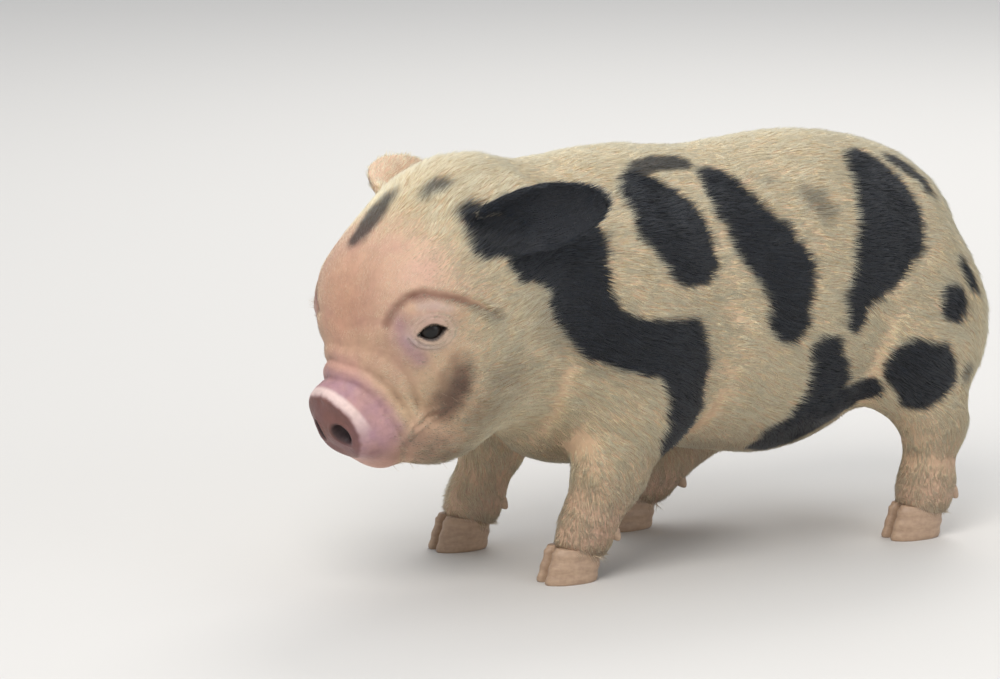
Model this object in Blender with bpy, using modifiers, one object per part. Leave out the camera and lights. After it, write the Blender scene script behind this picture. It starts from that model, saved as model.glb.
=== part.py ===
"""A still, life-size piglet of a small spotted breed, walking with its nose held low.

Metres, +Z up, nose towards -Y, the animal's left side at +X, soles on Z = 0.
The whole animal is one blended form: rounded masses placed from named sizes.
The form is meshed once coarse for the body and once fine for the head, then
parted into head, snout disc, neck, torso and legs by thin straight cuts.
Ears, tail, eyes, hooves and dewclaws are made on their own and seated on it.
"""

import math

import bmesh
import bpy
import numpy as np
from mathutils import Matrix, Vector

# Driving sizes, in metres
GAP = 0.0003
COARSE_VOXEL = 0.0030
FINE_VOXEL = 0.0012
SEEDS_PER_ROW = 9
HEAD_REACH, HEAD_REACH_EDGE = 0.105, 0.020
BODY_TRIANGLES = 3900
HEAD_TRIANGLES = 4600

HALF_STANCE = 0.036
CORONET_HEIGHT = 0.0120
CORONET_SLOPE = 0.20

EYE_RADIUS = 0.0060
LID_THICKNESS = 0.0012
EYE_SUNK = 0.0002
EYE_HALF_WIDTH = 0.0046
EYE_HALF_HEIGHT = 0.0030

DISC_RADIUS = 0.0173
DISC_OVERHANG = 0.0006
DISC_THICKNESS = 0.0070
DISC_TILT = math.radians(8)
DISC_WIDTH_RATIO = 0.91
DISC_BACK = 0.0010
DISC_EDGE = 0.0028

EAR_LENGTH = 0.050
EAR_SHELL = 0.0020

# How far the masses run into each other where they meet
BARREL_BLEND = 0.030
BRISKET_BLEND = 0.022
MUSCLE_BLEND = 0.014
LEG_BLEND = 0.012
LEG_JOINT_BLEND = 0.010
HEAD_BLEND = 0.016
SKULL_BLEND = 0.014
MUZZLE_BLEND = 0.016
JAW_BLEND = 0.012
JOWL_BLEND = 0.010
LIP_BLEND = 0.008
DISC_BLEND = 0.0030
LID_BLEND = 0.0040
FOLD_SOFTNESS = 0.0030

# The head's own axes: forward, left and up, turned a little to the left and dropped
HEAD_CENTRE = Vector((0.010, -0.137, 0.119))
HEAD_TURN = math.radians(12)
HEAD_DROP = math.radians(28)


def vec(*numbers):
    """A point or direction as an array."""
    return np.array(numbers, float)


def unit(direction):
    """The direction with length 1."""
    direction = np.asarray(direction, float)
    return direction / np.linalg.norm(direction)


FORWARD = vec(
    math.sin(HEAD_TURN) * math.cos(HEAD_DROP),
    -math.cos(HEAD_TURN) * math.cos(HEAD_DROP),
    -math.sin(HEAD_DROP),
)
LEFT = vec(math.cos(HEAD_TURN), math.sin(HEAD_TURN), 0)
UP = vec(
    math.sin(HEAD_TURN) * math.sin(HEAD_DROP),
    -math.cos(HEAD_TURN) * math.sin(HEAD_DROP),
    math.cos(HEAD_DROP),
)
HEAD_AXES = np.array([FORWARD, LEFT, UP])


def head_point(forward, left, up):
    """A point given in the head's axes, in the world."""
    return np.array(HEAD_CENTRE) + vec(forward, left, up) @ HEAD_AXES


def head_direction(forward, left, up):
    """A direction given in the head's axes, in the world."""
    return unit(vec(forward, left, up) @ HEAD_AXES)


# Body masses: centre and half sizes. A mirrored mass is given for the left side.
CHEST = (vec(0, -0.046, 0.108), vec(0.049, 0.060, 0.0600))
BELLY = (vec(0, 0.014, 0.1045), vec(0.060, 0.065, 0.0678))
RUMP = (vec(0, 0.059, 0.118), vec(0.050, 0.053, 0.050))
BRISKET = (vec(0, -0.078, 0.082), vec(0.034, 0.036, 0.040))
SHOULDER = (vec(0.034, -0.060, 0.099), vec(0.022, 0.034, 0.043))
HAM = (vec(0.031, 0.079, 0.091), vec(0.025, 0.0345, 0.040))
NECK = (vec(0, -0.066, 0.115), vec(0.008, -0.122, 0.1320))
NECK_RADII = (0.051, 0.0430)

# Leg joints from the hip or shoulder down to the sole, with the radius at each
FORE_RADII = (0.024, 0.0195, 0.0142, 0.0106, 0.0112)
HIND_RADII = (0.028, 0.0200, 0.0136, 0.0108, 0.0112)
LEG_FLATNESS = 0.92
LEGS = {
    "foreleg_left": (
        vec(0.030, -0.060, 0.100),
        vec(0.037, -0.057, 0.072),
        vec(0.037, -0.073, 0.043),
        vec(HALF_STANCE, -0.082, 0.023),
        vec(HALF_STANCE, -0.088, 0.010),
    ),
    "foreleg_right": (
        vec(-0.030, -0.060, 0.100),
        vec(-0.036, -0.068, 0.072),
        vec(-0.036, -0.087, 0.046),
        vec(-HALF_STANCE, -0.096, 0.023),
        vec(-HALF_STANCE, -0.101, 0.010),
    ),
    "hindleg_left": (
        vec(0.028, 0.070, 0.105),
        vec(0.037, 0.072, 0.082),
        vec(0.037, 0.0855, 0.050),
        vec(HALF_STANCE, 0.0830, 0.023),
        vec(HALF_STANCE, 0.0790, 0.010),
    ),
    "hindleg_right": (
        vec(-0.028, 0.060, 0.105),
        vec(-0.037, 0.034, 0.077),
        vec(-0.037, 0.027, 0.0465),
        vec(-HALF_STANCE, -0.009, 0.0255),
        vec(-HALF_STANCE, -0.021, 0.010),
    ),
}

# Head masses in the head's axes
CRANIUM = (vec(-0.010, 0, 0.006), vec(0.040, 0.038, 0.037))
BROW = (vec(0.0145, 0.0125, 0.006), vec(0.0320, 0.029, 0.0318))
CHEEK = (vec(0.004, 0.019, -0.022), vec(0.034, 0.022, 0.027))
JOWL = (vec(0.022, 0.009, -0.0405), vec(0.027, 0.016, 0.0190))
LIP = (vec(0.050, 0.009, -0.0245), vec(0.019, 0.0090, 0.010))
MUZZLE = (vec(0.022, 0, -0.006), vec(0.0595, 0, -0.0155))
MUZZLE_RADII = (0.0270, 0.0160)
MUZZLE_SPREAD, JAW_SPREAD = 0.97, 1.25
JAW = (vec(-0.002, 0, -0.0385), vec(0.0535, 0, -0.0342))
JAW_RADII = (0.0225, 0.0122)
DISC_CENTRE = vec(0.0650, 0, -0.0160)
DISC_AXIS = vec(math.cos(DISC_TILT), 0, -math.sin(DISC_TILT))
DISC_RISE = vec(math.sin(DISC_TILT), 0, math.cos(DISC_TILT))
EYE_MARK = vec(0.0285, 0.0305, 0.0090)
EYE_AXIS = unit(vec(0.42, 0.90, 0.10))
EYE_SLIT = unit(np.cross(vec(-0.10, 0, 1), EYE_AXIS))
EYE_RISE = np.cross(EYE_AXIS, EYE_SLIT)


def blend(first, second, width):
    """The union of two distance fields, rounded over the given width."""
    near = np.clip(1 - np.abs(first - second) / width, 0, 1)
    return np.minimum(first, second) - near * near * width / 4


def ball(points, mass):
    """Distance to an ellipsoid of the given centre and half sizes."""
    offset = points - mass[0]
    scaled = np.linalg.norm(offset / mass[1], axis=1)
    steep = np.linalg.norm(offset / mass[1] ** 2, axis=1)
    return scaled * (scaled - 1) / np.maximum(steep, 1e-9)


def cone(points, ends, radii, flatness=1.0, side=None):
    """Distance to a round-ended cone, squeezed along side."""
    along = ends[1] - ends[0]
    share = np.clip(((points - ends[0]) @ along) / (along @ along), 0, 1)
    offset = points - ends[0] - share[:, None] * along
    if side is not None:
        offset = offset + np.outer((offset @ side) * (1 / flatness - 1), side)
    return np.linalg.norm(offset, axis=1) - (radii[0] + share * (radii[1] - radii[0]))


def mirrored(points, axis):
    """The points with one coordinate made positive, rounded at the fold, so one mass serves both sides."""
    folded = points.copy()
    folded[:, axis] = np.hypot(folded[:, axis], FOLD_SOFTNESS)
    return folded


def torso_form(points):
    """Barrel, rump, shoulders, brisket and hams."""
    folded = mirrored(points, 0)
    form = blend(ball(points, CHEST), ball(points, BELLY), BARREL_BLEND)
    form = blend(form, ball(points, RUMP), BARREL_BLEND)
    form = blend(form, ball(points, BRISKET), BRISKET_BLEND)
    form = blend(form, ball(folded, SHOULDER), MUSCLE_BLEND)
    return blend(form, ball(folded, HAM), MUSCLE_BLEND)


def leg_form(points, name):
    """One leg as a chain of round cones from its upper joint to its foot."""
    joints = LEGS[name]
    radii = FORE_RADII if name.startswith("fore") else HIND_RADII
    form = None
    for ends, sizes in zip(zip(joints, joints[1:]), zip(radii, radii[1:])):
        part = cone(points, ends, sizes, LEG_FLATNESS, vec(1, 0, 0))
        form = part if form is None else blend(form, part, LEG_JOINT_BLEND)
    return form


def disc_form(local):
    """The rounded plate behind the snout's disc, from points in the head's axes."""
    flat = (local - DISC_CENTRE) @ np.array([DISC_AXIS, vec(0, 1, 0), DISC_RISE]).T
    over = np.abs(flat[:, 0]) - DISC_THICKNESS / 2 + DISC_EDGE
    from_axis = np.hypot(flat[:, 1] / DISC_WIDTH_RATIO, flat[:, 2])
    out = from_axis - DISC_RADIUS + DISC_OVERHANG + DISC_EDGE
    form = np.hypot(np.maximum(over, 0), np.maximum(out, 0)) - DISC_EDGE
    return form + np.minimum(np.maximum(over, out), 0)


def skull_form(local):
    """Skull, brow, cheeks, muzzle, jaw, lips and disc, from points in the head's axes."""
    folded = mirrored(local, 1)
    aside = vec(0, 1, 0)
    form = blend(ball(local, CRANIUM), ball(folded, BROW), SKULL_BLEND)
    form = blend(form, ball(folded, CHEEK), SKULL_BLEND)
    form = blend(form, cone(local, MUZZLE, MUZZLE_RADII, MUZZLE_SPREAD, aside), MUZZLE_BLEND)
    form = blend(form, cone(local, JAW, JAW_RADII, JAW_SPREAD, aside), JAW_BLEND)
    form = blend(form, ball(folded, JOWL), JOWL_BLEND)
    form = blend(form, ball(folded, LIP), LIP_BLEND)
    return blend(form, disc_form(local), DISC_BLEND)


def onto_form(points, form, steps):
    """The points moved along the form's slope until they lie on its surface."""
    reach = 1.5e-4
    for _ in range(steps):
        value = form(points)
        slope = np.empty_like(points)
        for axis in range(3):
            nudge = np.zeros(3)
            nudge[axis] = reach
            slope[:, axis] = (form(points + nudge) - value) / reach
        steep = np.maximum((slope**2).sum(axis=1), 0.05)
        move = -(value / steep)[:, None] * slope
        length = np.linalg.norm(move, axis=1)
        points = points + move * np.minimum(1, 0.004 / np.maximum(length, 1e-9))[:, None]
    return points


EYE_CENTRE = onto_form(EYE_MARK[None], skull_form, 6)[0] - EYE_AXIS * (EYE_RADIUS + EYE_SUNK)


def head_form(points):
    """The skull with the swelling of the lids."""
    local = (points - np.array(HEAD_CENTRE)) @ HEAD_AXES.T
    from_eye = np.linalg.norm(mirrored(local, 1) - EYE_CENTRE, axis=1)
    return blend(skull_form(local), from_eye - EYE_RADIUS - LID_THICKNESS, LID_BLEND)


def body_form(points):
    """The whole animal without ears, tail and hooves."""
    form = blend(torso_form(points), cone(points, NECK, NECK_RADII), BARREL_BLEND)
    for name in LEGS:
        form = blend(form, leg_form(points, name), LEG_BLEND)
    return blend(form, head_form(points), HEAD_BLEND)


def seed_balls():
    """Overlapping balls inside every mass: centre and half sizes."""
    balls = [CHEST, BELLY, RUMP, BRISKET]
    for centre, sizes in (SHOULDER, HAM):
        balls += [(centre * vec(side, 1, 1), sizes) for side in (1, -1)]
    for centre, sizes in (CRANIUM, BROW, CHEEK):
        round_size = np.full(3, sizes.min())
        balls += [(head_point(*(centre * vec(1, side, 1))), round_size) for side in (1, -1)]
    rows = [(NECK, NECK_RADII)]
    rows += [((head_point(*MUZZLE[0]), head_point(*MUZZLE[1])), MUZZLE_RADII)]
    rows += [((head_point(*JAW[0]), head_point(*JAW[1])), JAW_RADII)]
    for name, joints in LEGS.items():
        radii = FORE_RADII if name.startswith("fore") else HIND_RADII
        rows += zip(zip(joints, joints[1:]), zip(radii, radii[1:]))
    for ends, sizes in rows:
        for share in np.linspace(0, 1, SEEDS_PER_ROW):
            radius = sizes[0] + share * (sizes[1] - sizes[0])
            balls.append((ends[0] + share * (ends[1] - ends[0]), np.full(3, radius)))
    return balls


def link(name, mesh, collection):
    """A new object of this mesh in the collection."""
    made = bpy.data.objects.new(name, mesh)
    collection.objects.link(made)
    return made


def settle(piece):
    """Replaces the piece's mesh by its evaluated one and drops its modifiers."""
    graph = bpy.context.evaluated_depsgraph_get()
    mesh = bpy.data.meshes.new_from_object(piece.evaluated_get(graph))
    mesh.name = piece.name
    piece.modifiers.clear()
    piece.data = mesh
    return piece


def places(mesh):
    """The mesh's vertices as an array."""
    flat = np.empty(len(mesh.vertices) * 3, np.float32)
    mesh.vertices.foreach_get("co", flat)
    return flat.reshape(-1, 3).astype(float)


def place(mesh, points):
    """Moves the mesh's vertices to these points."""
    mesh.vertices.foreach_set("co", points.astype(np.float32).ravel())
    mesh.update()


def relaxed(mesh, points, rounds):
    """The points moved half way to their neighbours' middle, some times over."""
    ends = np.empty(len(mesh.edges) * 2, np.int32)
    mesh.edges.foreach_get("vertices", ends)
    first, second = ends.reshape(-1, 2).T
    degree = np.bincount(ends, minlength=len(points))[:, None]
    for _ in range(rounds):
        total = np.empty_like(points)
        for axis in range(3):
            total[:, axis] = np.bincount(first, points[second, axis], len(points))
            total[:, axis] += np.bincount(second, points[first, axis], len(points))
        points = points + 0.5 * (total / degree - points)
    return points


def whole_animal(name, voxel, triangles, keep_near, collection):
    """The blended form as one closed mesh. keep_near limits it to a round region."""
    model = bmesh.new()
    bmesh.ops.create_uvsphere(model, u_segments=20, v_segments=12, radius=1)
    unit_ball = bpy.data.meshes.new("unit_ball")
    model.to_mesh(unit_ball)
    model.free()
    corners = places(unit_ball)
    faces = [list(face.vertices) for face in unit_ball.polygons]
    bpy.data.meshes.remove(unit_ball)
    points, polygons = [], []
    for centre, sizes in seed_balls():
        if keep_near and np.linalg.norm(centre - keep_near[0]) > keep_near[1]:
            continue
        start = len(points) * len(corners)
        points.append(corners * sizes + centre)
        polygons += [[corner + start for corner in face] for face in faces]
    mesh = bpy.data.meshes.new(name)
    mesh.from_pydata(np.concatenate(points).tolist(), [], polygons)
    animal = link(name, mesh, collection)
    remesh = animal.modifiers.new("one_skin", "REMESH")
    remesh.mode = "VOXEL"
    remesh.voxel_size = voxel
    settle(animal)
    points = relaxed(animal.data, places(animal.data), 3)
    inside = np.ones(len(points), bool)
    if keep_near:
        inside = np.linalg.norm(points - keep_near[0], axis=1) < keep_near[1] - HEAD_REACH_EDGE
    points[inside] = onto_form(points[inside], body_form, 4)
    points = relaxed(animal.data, points, 1)
    points[inside] = onto_form(points[inside], body_form, 3)
    place(animal.data, points)
    fewer = animal.modifiers.new("fewer", "DECIMATE")
    fewer.ratio = triangles / (2 * len(animal.data.polygons))
    fewer.use_collapse_triangulate = True
    return settle(animal)


def prism(name, corners_low, corners_high, collection):
    """A closed block from a ring of low corners and the ring above it."""
    model = bmesh.new()
    low = [model.verts.new(corner) for corner in corners_low]
    high = [model.verts.new(corner) for corner in corners_high]
    model.faces.new(low[::-1])
    model.faces.new(high)
    count = len(low)
    for i in range(count):
        j = (i + 1) % count
        model.faces.new((low[i], low[j], high[j], high[i]))
    bmesh.ops.recalc_face_normals(model, faces=model.faces)
    mesh = bpy.data.meshes.new(name)
    model.to_mesh(mesh)
    model.free()
    return link(name, mesh, collection)


def half_space(name, point, normal, collection, reach=0.25):
    """A large cube on the side of the plane that the normal points to."""
    model = bmesh.new()
    bmesh.ops.create_cube(model, size=2 * reach)
    mesh = bpy.data.meshes.new(name)
    model.to_mesh(mesh)
    model.free()
    normal = Vector(normal).normalized()
    turn = normal.to_track_quat("Z", "Y").to_matrix().to_4x4()
    mesh.transform(Matrix.Translation(Vector(point) + normal * reach) @ turn)
    return link(name, mesh, collection)


def boolean(piece, other, operation):
    """Cuts, joins or crosses the piece with the other object."""
    step = piece.modifiers.new(operation.lower(), "BOOLEAN")
    step.operation = operation
    step.object = other
    step.solver = "EXACT"
    return settle(piece)


def keep_largest(piece):
    """Keeps the piece's largest closed surface."""
    model = bmesh.new()
    model.from_mesh(piece.data)
    left = set(model.verts)
    groups = []
    while left:
        todo = [left.pop()]
        group = set(todo)
        while todo:
            for edge in todo.pop().link_edges:
                for vert in edge.verts:
                    if vert in left:
                        left.discard(vert)
                        group.add(vert)
                        todo.append(vert)
        groups.append(group)
    if len(groups) > 1:
        largest = max(groups, key=len)
        scraps = [vert for vert in model.verts if vert not in largest]
        bmesh.ops.delete(model, geom=scraps, context="VERTS")
        model.to_mesh(piece.data)
    model.free()
    return piece


def copy_of(piece, name, collection):
    """A copy with its own mesh."""
    made = piece.copy()
    made.data = piece.data.copy()
    made.name = name
    collection.objects.link(made)
    return made


def grown(piece, by, collection):
    """A copy of the piece swollen along its normals."""
    made = copy_of(piece, piece.name + "_grown", collection)
    swell = made.modifiers.new("swell", "DISPLACE")
    swell.strength = by
    swell.mid_level = 0
    return settle(made)


def drop(*helpers):
    """Removes helper objects."""
    for helper in helpers:
        bpy.data.objects.remove(helper)


def finish(name, colour, roughness):
    """A Principled material of one colour."""
    made = bpy.data.materials.new(name)
    made.use_nodes = True
    shader = made.node_tree.nodes["Principled BSDF"]
    shader.inputs["Base Color"].default_value = (*colour, 1)
    shader.inputs["Roughness"].default_value = roughness
    shader.inputs["Metallic"].default_value = 0
    return made


def dress(piece, material, smooth_angle=50):
    """Gives the piece its material and smooth shading."""
    piece.data.materials.clear()
    piece.data.materials.append(material)
    piece.data.shade_smooth()
    piece.data.set_sharp_from_angle(angle=math.radians(smooth_angle))
    return piece


# Finishes: colour and roughness
FINISHES = {
    "spotted_coat": ((0.72, 0.60, 0.43), 0.75),
    "black_skin": ((0.02, 0.02, 0.025), 0.70),
    "pink_skin": ((0.74, 0.48, 0.44), 0.55),
    "hoof_horn": ((0.62, 0.47, 0.38), 0.45),
    "dark_eye": ((0.03, 0.02, 0.015), 0.08),
}

# Cuts between the nodes: a point and the direction that the cut faces
HEAD_CUT = (vec(0.006, -0.1085, 0.120), unit(vec(-0.10, 1, 0.06)))
DISC_CUT_NORMAL = head_direction(*DISC_AXIS)
DISC_CUT_POINT = head_point(*DISC_CENTRE) - DISC_CUT_NORMAL * DISC_BACK
NECK_CUT = (vec(0, -0.084, 0.110), unit(vec(0, 1, -0.12)))


# Blocks that hold the legs: distances from the midline, heights of the slanted top, reach ahead and behind
BLOCK_INNER, BLOCK_OUTER = 0.014, 0.075
BLOCK_BOTTOM = -0.020
FOOT_REACH = 0.035
FORE_BLOCK = (0.044, 0.074, 0.030, 0.027)
HIND_BLOCK = (0.050, 0.084, 0.030, 0.034)


def leg_block(name, grow, collection):
    """The slanted block that holds one leg below its armpit or groin."""
    joints = LEGS[name]
    side = 1 if joints[0][0] > 0 else -1
    upper, foot = joints[1], joints[4]
    sizes = FORE_BLOCK if name.startswith("fore") else HIND_BLOCK
    top_inner, top_outer, reach_front, reach_back = sizes
    inner, outer = side * (BLOCK_INNER - grow), side * BLOCK_OUTER
    front, back = upper[1] - reach_front - grow, upper[1] + reach_back + grow
    foot_front, foot_back = foot[1] - FOOT_REACH - grow, foot[1] + FOOT_REACH + grow
    low = [
        (inner, foot_front, BLOCK_BOTTOM),
        (outer, foot_front, BLOCK_BOTTOM),
        (outer, foot_back, BLOCK_BOTTOM),
        (inner, foot_back, BLOCK_BOTTOM),
    ]
    high = [
        (inner, front, top_inner + grow),
        (outer, front, top_outer + grow),
        (outer, back, top_outer + grow),
        (inner, back, top_inner + grow),
    ]
    return prism("block_" + name, low, high, collection)


def coronet_plane(name, height):
    """A point and the upward direction of the slanted plane where hoof meets leg."""
    foot = LEGS[name][4]
    return vec(foot[0], foot[1], height), unit(vec(0, CORONET_SLOPE, 1))


def part_body(body, shapes, cutters):
    """Parts the coarse body into neck, torso and four legs."""
    torso = copy_of(body, "torso", shapes)
    for name in LEGS:
        leg = copy_of(body, name, shapes)
        block = leg_block(name, 0, cutters)
        boolean(leg, block, "INTERSECT")
        wider = leg_block(name, GAP, cutters)
        boolean(torso, wider, "DIFFERENCE")
        point, normal = coronet_plane(name, CORONET_HEIGHT)
        above = half_space("above_" + name, point, normal, cutters)
        boolean(leg, above, "INTERSECT")
        keep_largest(leg)
        drop(block, wider, above)
    point, normal = NECK_CUT
    behind = half_space("behind_neck", point, normal, cutters)
    ahead = half_space("ahead_of_torso", point - normal * GAP, -normal, cutters)
    neck = copy_of(torso, "neck", shapes)
    boolean(torso, behind, "INTERSECT")
    boolean(neck, ahead, "INTERSECT")
    point, normal = HEAD_CUT
    back_of_head = half_space("back_of_head", point + normal * GAP, normal, cutters)
    boolean(neck, back_of_head, "INTERSECT")
    drop(behind, ahead, back_of_head)
    return [keep_largest(torso), keep_largest(neck)] + [bpy.data.objects[n] for n in LEGS]


def tube(name, spots, radii, order, sides, collection):
    """A closed tube along a smooth curve through its spots, with a radius at each."""
    curve = bpy.data.curves.new(name, "CURVE")
    curve.dimensions = "3D"
    curve.bevel_depth = 1.0
    curve.bevel_resolution = sides
    curve.resolution_u = 4
    curve.use_fill_caps = True
    line = curve.splines.new("NURBS")
    line.points.add(len(spots) - 1)
    for point, spot, radius in zip(line.points, spots, radii):
        point.co = (*spot, 1)
        point.radius = radius
    line.use_endpoint_u = True
    line.order_u = order
    guide = link(name + "_guide", curve, collection)
    graph = bpy.context.evaluated_depsgraph_get()
    mesh = bpy.data.meshes.new_from_object(guide.evaluated_get(graph))
    drop(guide)
    model = bmesh.new()
    model.from_mesh(mesh)
    bmesh.ops.remove_doubles(model, verts=model.verts, dist=1e-5)
    bmesh.ops.recalc_face_normals(model, faces=model.faces)
    model.to_mesh(mesh)
    model.free()
    return link(name, mesh, collection)


# One half of the mouth's line, from the middle of the chin to the corner, in the head's axes
MOUTH = (
    vec(0.0618, 0.000, -0.0350),
    vec(0.0608, 0.0055, -0.0346),
    vec(0.0565, 0.0115, -0.0328),
    vec(0.0485, 0.0178, -0.0298),
    vec(0.0395, 0.0222, -0.0272),
    vec(0.0310, 0.0258, -0.0255),
)
MOUTH_RADIUS = 0.0008


def mouth_groove(collection):
    """A thin tube along the line of the mouth, from one corner round the front to the other."""
    other_half = [spot * vec(1, -1, 1) for spot in MOUTH[:0:-1]]
    spots = np.array([head_point(*spot) for spot in (*other_half, *MOUTH)])
    on_skin = onto_form(spots, body_form, 6)
    return tube("mouth_tube", on_skin, [MOUTH_RADIUS] * len(on_skin), 3, 1, collection)


def round_piece(name, centre, radius, collection, segments=16, rings=10):
    """A ball."""
    model = bmesh.new()
    bmesh.ops.create_uvsphere(
        model,
        u_segments=segments,
        v_segments=rings,
        radius=radius,
        matrix=Matrix.Translation(Vector(centre)),
    )
    mesh = bpy.data.meshes.new(name)
    model.to_mesh(mesh)
    model.free()
    return link(name, mesh, collection)


def almond(name, centre, side, collection):
    """A block with an almond outline that opens the lids over the eye."""
    axes = np.array([EYE_AXIS, EYE_SLIT, EYE_RISE]) * vec(1, side, 1)
    bow = (EYE_HALF_WIDTH**2 + EYE_HALF_HEIGHT**2) / (2 * EYE_HALF_HEIGHT)
    sweep = math.asin(EYE_HALF_WIDTH / bow)
    outline = []
    for start, sign in ((-1, 1), (1, -1)):
        for step in range(6):
            angle = start * sweep * (1 - step / 3)
            rise = bow * math.cos(angle) - bow + EYE_HALF_HEIGHT
            outline.append((bow * math.sin(angle), sign * rise))
    rings = []
    for reach in (0.3 * EYE_RADIUS, 2.5 * EYE_RADIUS):
        corners = [vec(reach, along, rise) @ axes @ HEAD_AXES + centre for along, rise in outline]
        rings.append(corners)
    return prism(name, rings[0], rings[1], collection)


# The snout's disc in profile: share of its radius, and height over its front plane
DISC_PROFILE = (
    (0.00, -0.0012),
    (0.52, -0.0010),
    (0.74, 0.0002),
    (0.86, 0.0003),
    (0.95, -0.0005),
    (1.00, -0.0019),
)
DISC_BACK_SHARE = 0.985
DISC_STEPS = 36
NOSTRIL_PLACE = (0.0068, 0.0002)
NOSTRIL_SIZES = (0.0028, 0.0043, 0.0050)
NOSTRIL_LEAN = math.radians(14)


def snout_disc(shapes, cutters):
    """The turned, rimmed disc with its two nostrils, flat at the back."""
    back, front = GAP - DISC_BACK, DISC_THICKNESS / 2
    profile = [(share, front + height) for share, height in DISC_PROFILE]
    profile += [(DISC_BACK_SHARE, back), (0, back)]
    model = bmesh.new()
    verts = [model.verts.new((share * DISC_RADIUS, 0, height)) for share, height in profile]
    for low, high in zip(verts, verts[1:]):
        model.edges.new((low, high))
    mesh = bpy.data.meshes.new("snout_disc")
    model.to_mesh(mesh)
    model.free()
    disc = link("snout_disc", mesh, shapes)
    turned = disc.modifiers.new("turned", "SCREW")
    turned.steps = turned.render_steps = DISC_STEPS
    turned.use_merge_vertices = True
    turned.merge_threshold = 1e-5
    settle(disc)
    for side in (1, -1):
        pit = round_piece("nostril", (0, 0, 0), 1, cutters, 14, 10)
        lean = Matrix.Rotation(side * NOSTRIL_LEAN, 4, "Z")
        spot = Matrix.Translation((side * NOSTRIL_PLACE[0], NOSTRIL_PLACE[1], front))
        pit.data.transform(spot @ lean @ Matrix.Diagonal((*NOSTRIL_SIZES, 1)))
        boolean(disc, pit, "DIFFERENCE")
        drop(pit)
    across, up = head_direction(0, 1, 0), head_direction(*DISC_RISE)
    axes = np.array([across * DISC_WIDTH_RATIO, up, DISC_CUT_NORMAL]).T
    turn = Matrix(axes.tolist()).to_4x4()
    disc.data.transform(Matrix.Translation(Vector(head_point(*DISC_CENTRE))) @ turn)
    return disc


def part_head(fine, shapes, cutters):
    """Parts the head from the fine form, opens the mouth line and lids, and seats the eyes."""
    point, normal = HEAD_CUT
    front = half_space("front_of_head", point, -normal, cutters)
    head = copy_of(fine, "head", shapes)
    boolean(head, front, "INTERSECT")
    behind_point = DISC_CUT_POINT - DISC_CUT_NORMAL * GAP
    behind = half_space("behind_disc", behind_point, -DISC_CUT_NORMAL, cutters)
    boolean(head, behind, "INTERSECT")
    groove = mouth_groove(cutters)
    boolean(head, groove, "DIFFERENCE")
    drop(front, behind, groove)
    eyes = []
    for name, side in (("eye_left", 1), ("eye_right", -1)):
        centre = head_point(*(EYE_CENTRE * vec(1, side, 1)))
        eyes.append(round_piece(name, centre, EYE_RADIUS, shapes))
        socket = round_piece("socket", centre, EYE_RADIUS + GAP, cutters)
        opening = almond("lids", centre, side, cutters)
        boolean(head, opening, "DIFFERENCE")
        boolean(head, socket, "DIFFERENCE")
        drop(socket, opening)
    return [keep_largest(head)] + eyes


# Ears: root inside the skull, way to the tip and the way the cup opens, in the head's axes
EARS = {
    "ear_left": (vec(-0.013, 0.0290, 0.0255), vec(-0.80, 0.58, -0.16), vec(0.58, 0.78, 0.05)),
    "ear_right": (vec(-0.015, -0.0275, 0.0245), vec(-0.83, -0.51, -0.30), vec(0.44, -0.86, 0.16)),
}
EAR_STAND = 0.017
EAR_ROOT_RADIUS, EAR_TIP_RADIUS = 0.0068, 0.026
EAR_HALF_WIDTH = 0.0165
EAR_ROOT_SHARE, EAR_SPREAD = 0.72, 0.70
EAR_TIP_START, EAR_TIP_POWER, EAR_TIP_SHARE = 0.45, 2.4, 0.14
EAR_ROWS, EAR_COLUMNS, EAR_CROWDING = 15, 13, 0.8


def ear_spot(name, share, cross):
    """A point of the ear's middle sheet: share runs from root to tip, cross from edge to edge."""
    root, tip, opening = EARS[name]
    along = unit(tip)
    opening = unit(opening - (opening @ along) * along)
    across = np.cross(opening, along)
    outward = unit(vec(0, root[1], root[2]))
    bend = root + outward * EAR_STAND
    end = root + along * EAR_LENGTH
    spot = (1 - share) ** 2 * root + 2 * share * (1 - share) * bend + share**2 * end
    heading = unit((1 - share) * (bend - root) + share * (end - bend))
    facing = np.cross(heading, across)
    if facing @ opening < 0:
        facing = -facing
    past = max(0.0, (share - EAR_TIP_START) / (1 - EAR_TIP_START))
    rounding = math.sqrt(max(0.0, 1 - past**EAR_TIP_POWER))
    spread = min(1, EAR_ROOT_SHARE + EAR_SPREAD * share)
    half_width = EAR_HALF_WIDTH * spread * max(EAR_TIP_SHARE, rounding)
    roll = EAR_ROOT_RADIUS + (EAR_TIP_RADIUS - EAR_ROOT_RADIUS) * share
    angle = cross * half_width / roll
    return spot + across * (roll * math.sin(angle)) + facing * (roll * (1 - math.cos(angle)))


def ear(name, shapes):
    """A cupped shell: rolled nearly shut at its root, opening out to a rounded tip."""
    model = bmesh.new()
    bmesh.ops.create_grid(model, x_segments=EAR_ROWS - 1, y_segments=EAR_COLUMNS - 1, size=1)
    for vert in model.verts:
        share = ((vert.co.x + 1) / 2) ** EAR_CROWDING
        vert.co = head_point(*ear_spot(name, share, vert.co.y))
    bmesh.ops.triangulate(model, faces=model.faces)
    mesh = bpy.data.meshes.new(name)
    model.to_mesh(mesh)
    model.free()
    made = link(name, mesh, shapes)
    shell = made.modifiers.new("shell", "SOLIDIFY")
    shell.thickness = EAR_SHELL
    shell.offset = 0
    shell.use_even_offset = False
    return settle(made)


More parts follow.
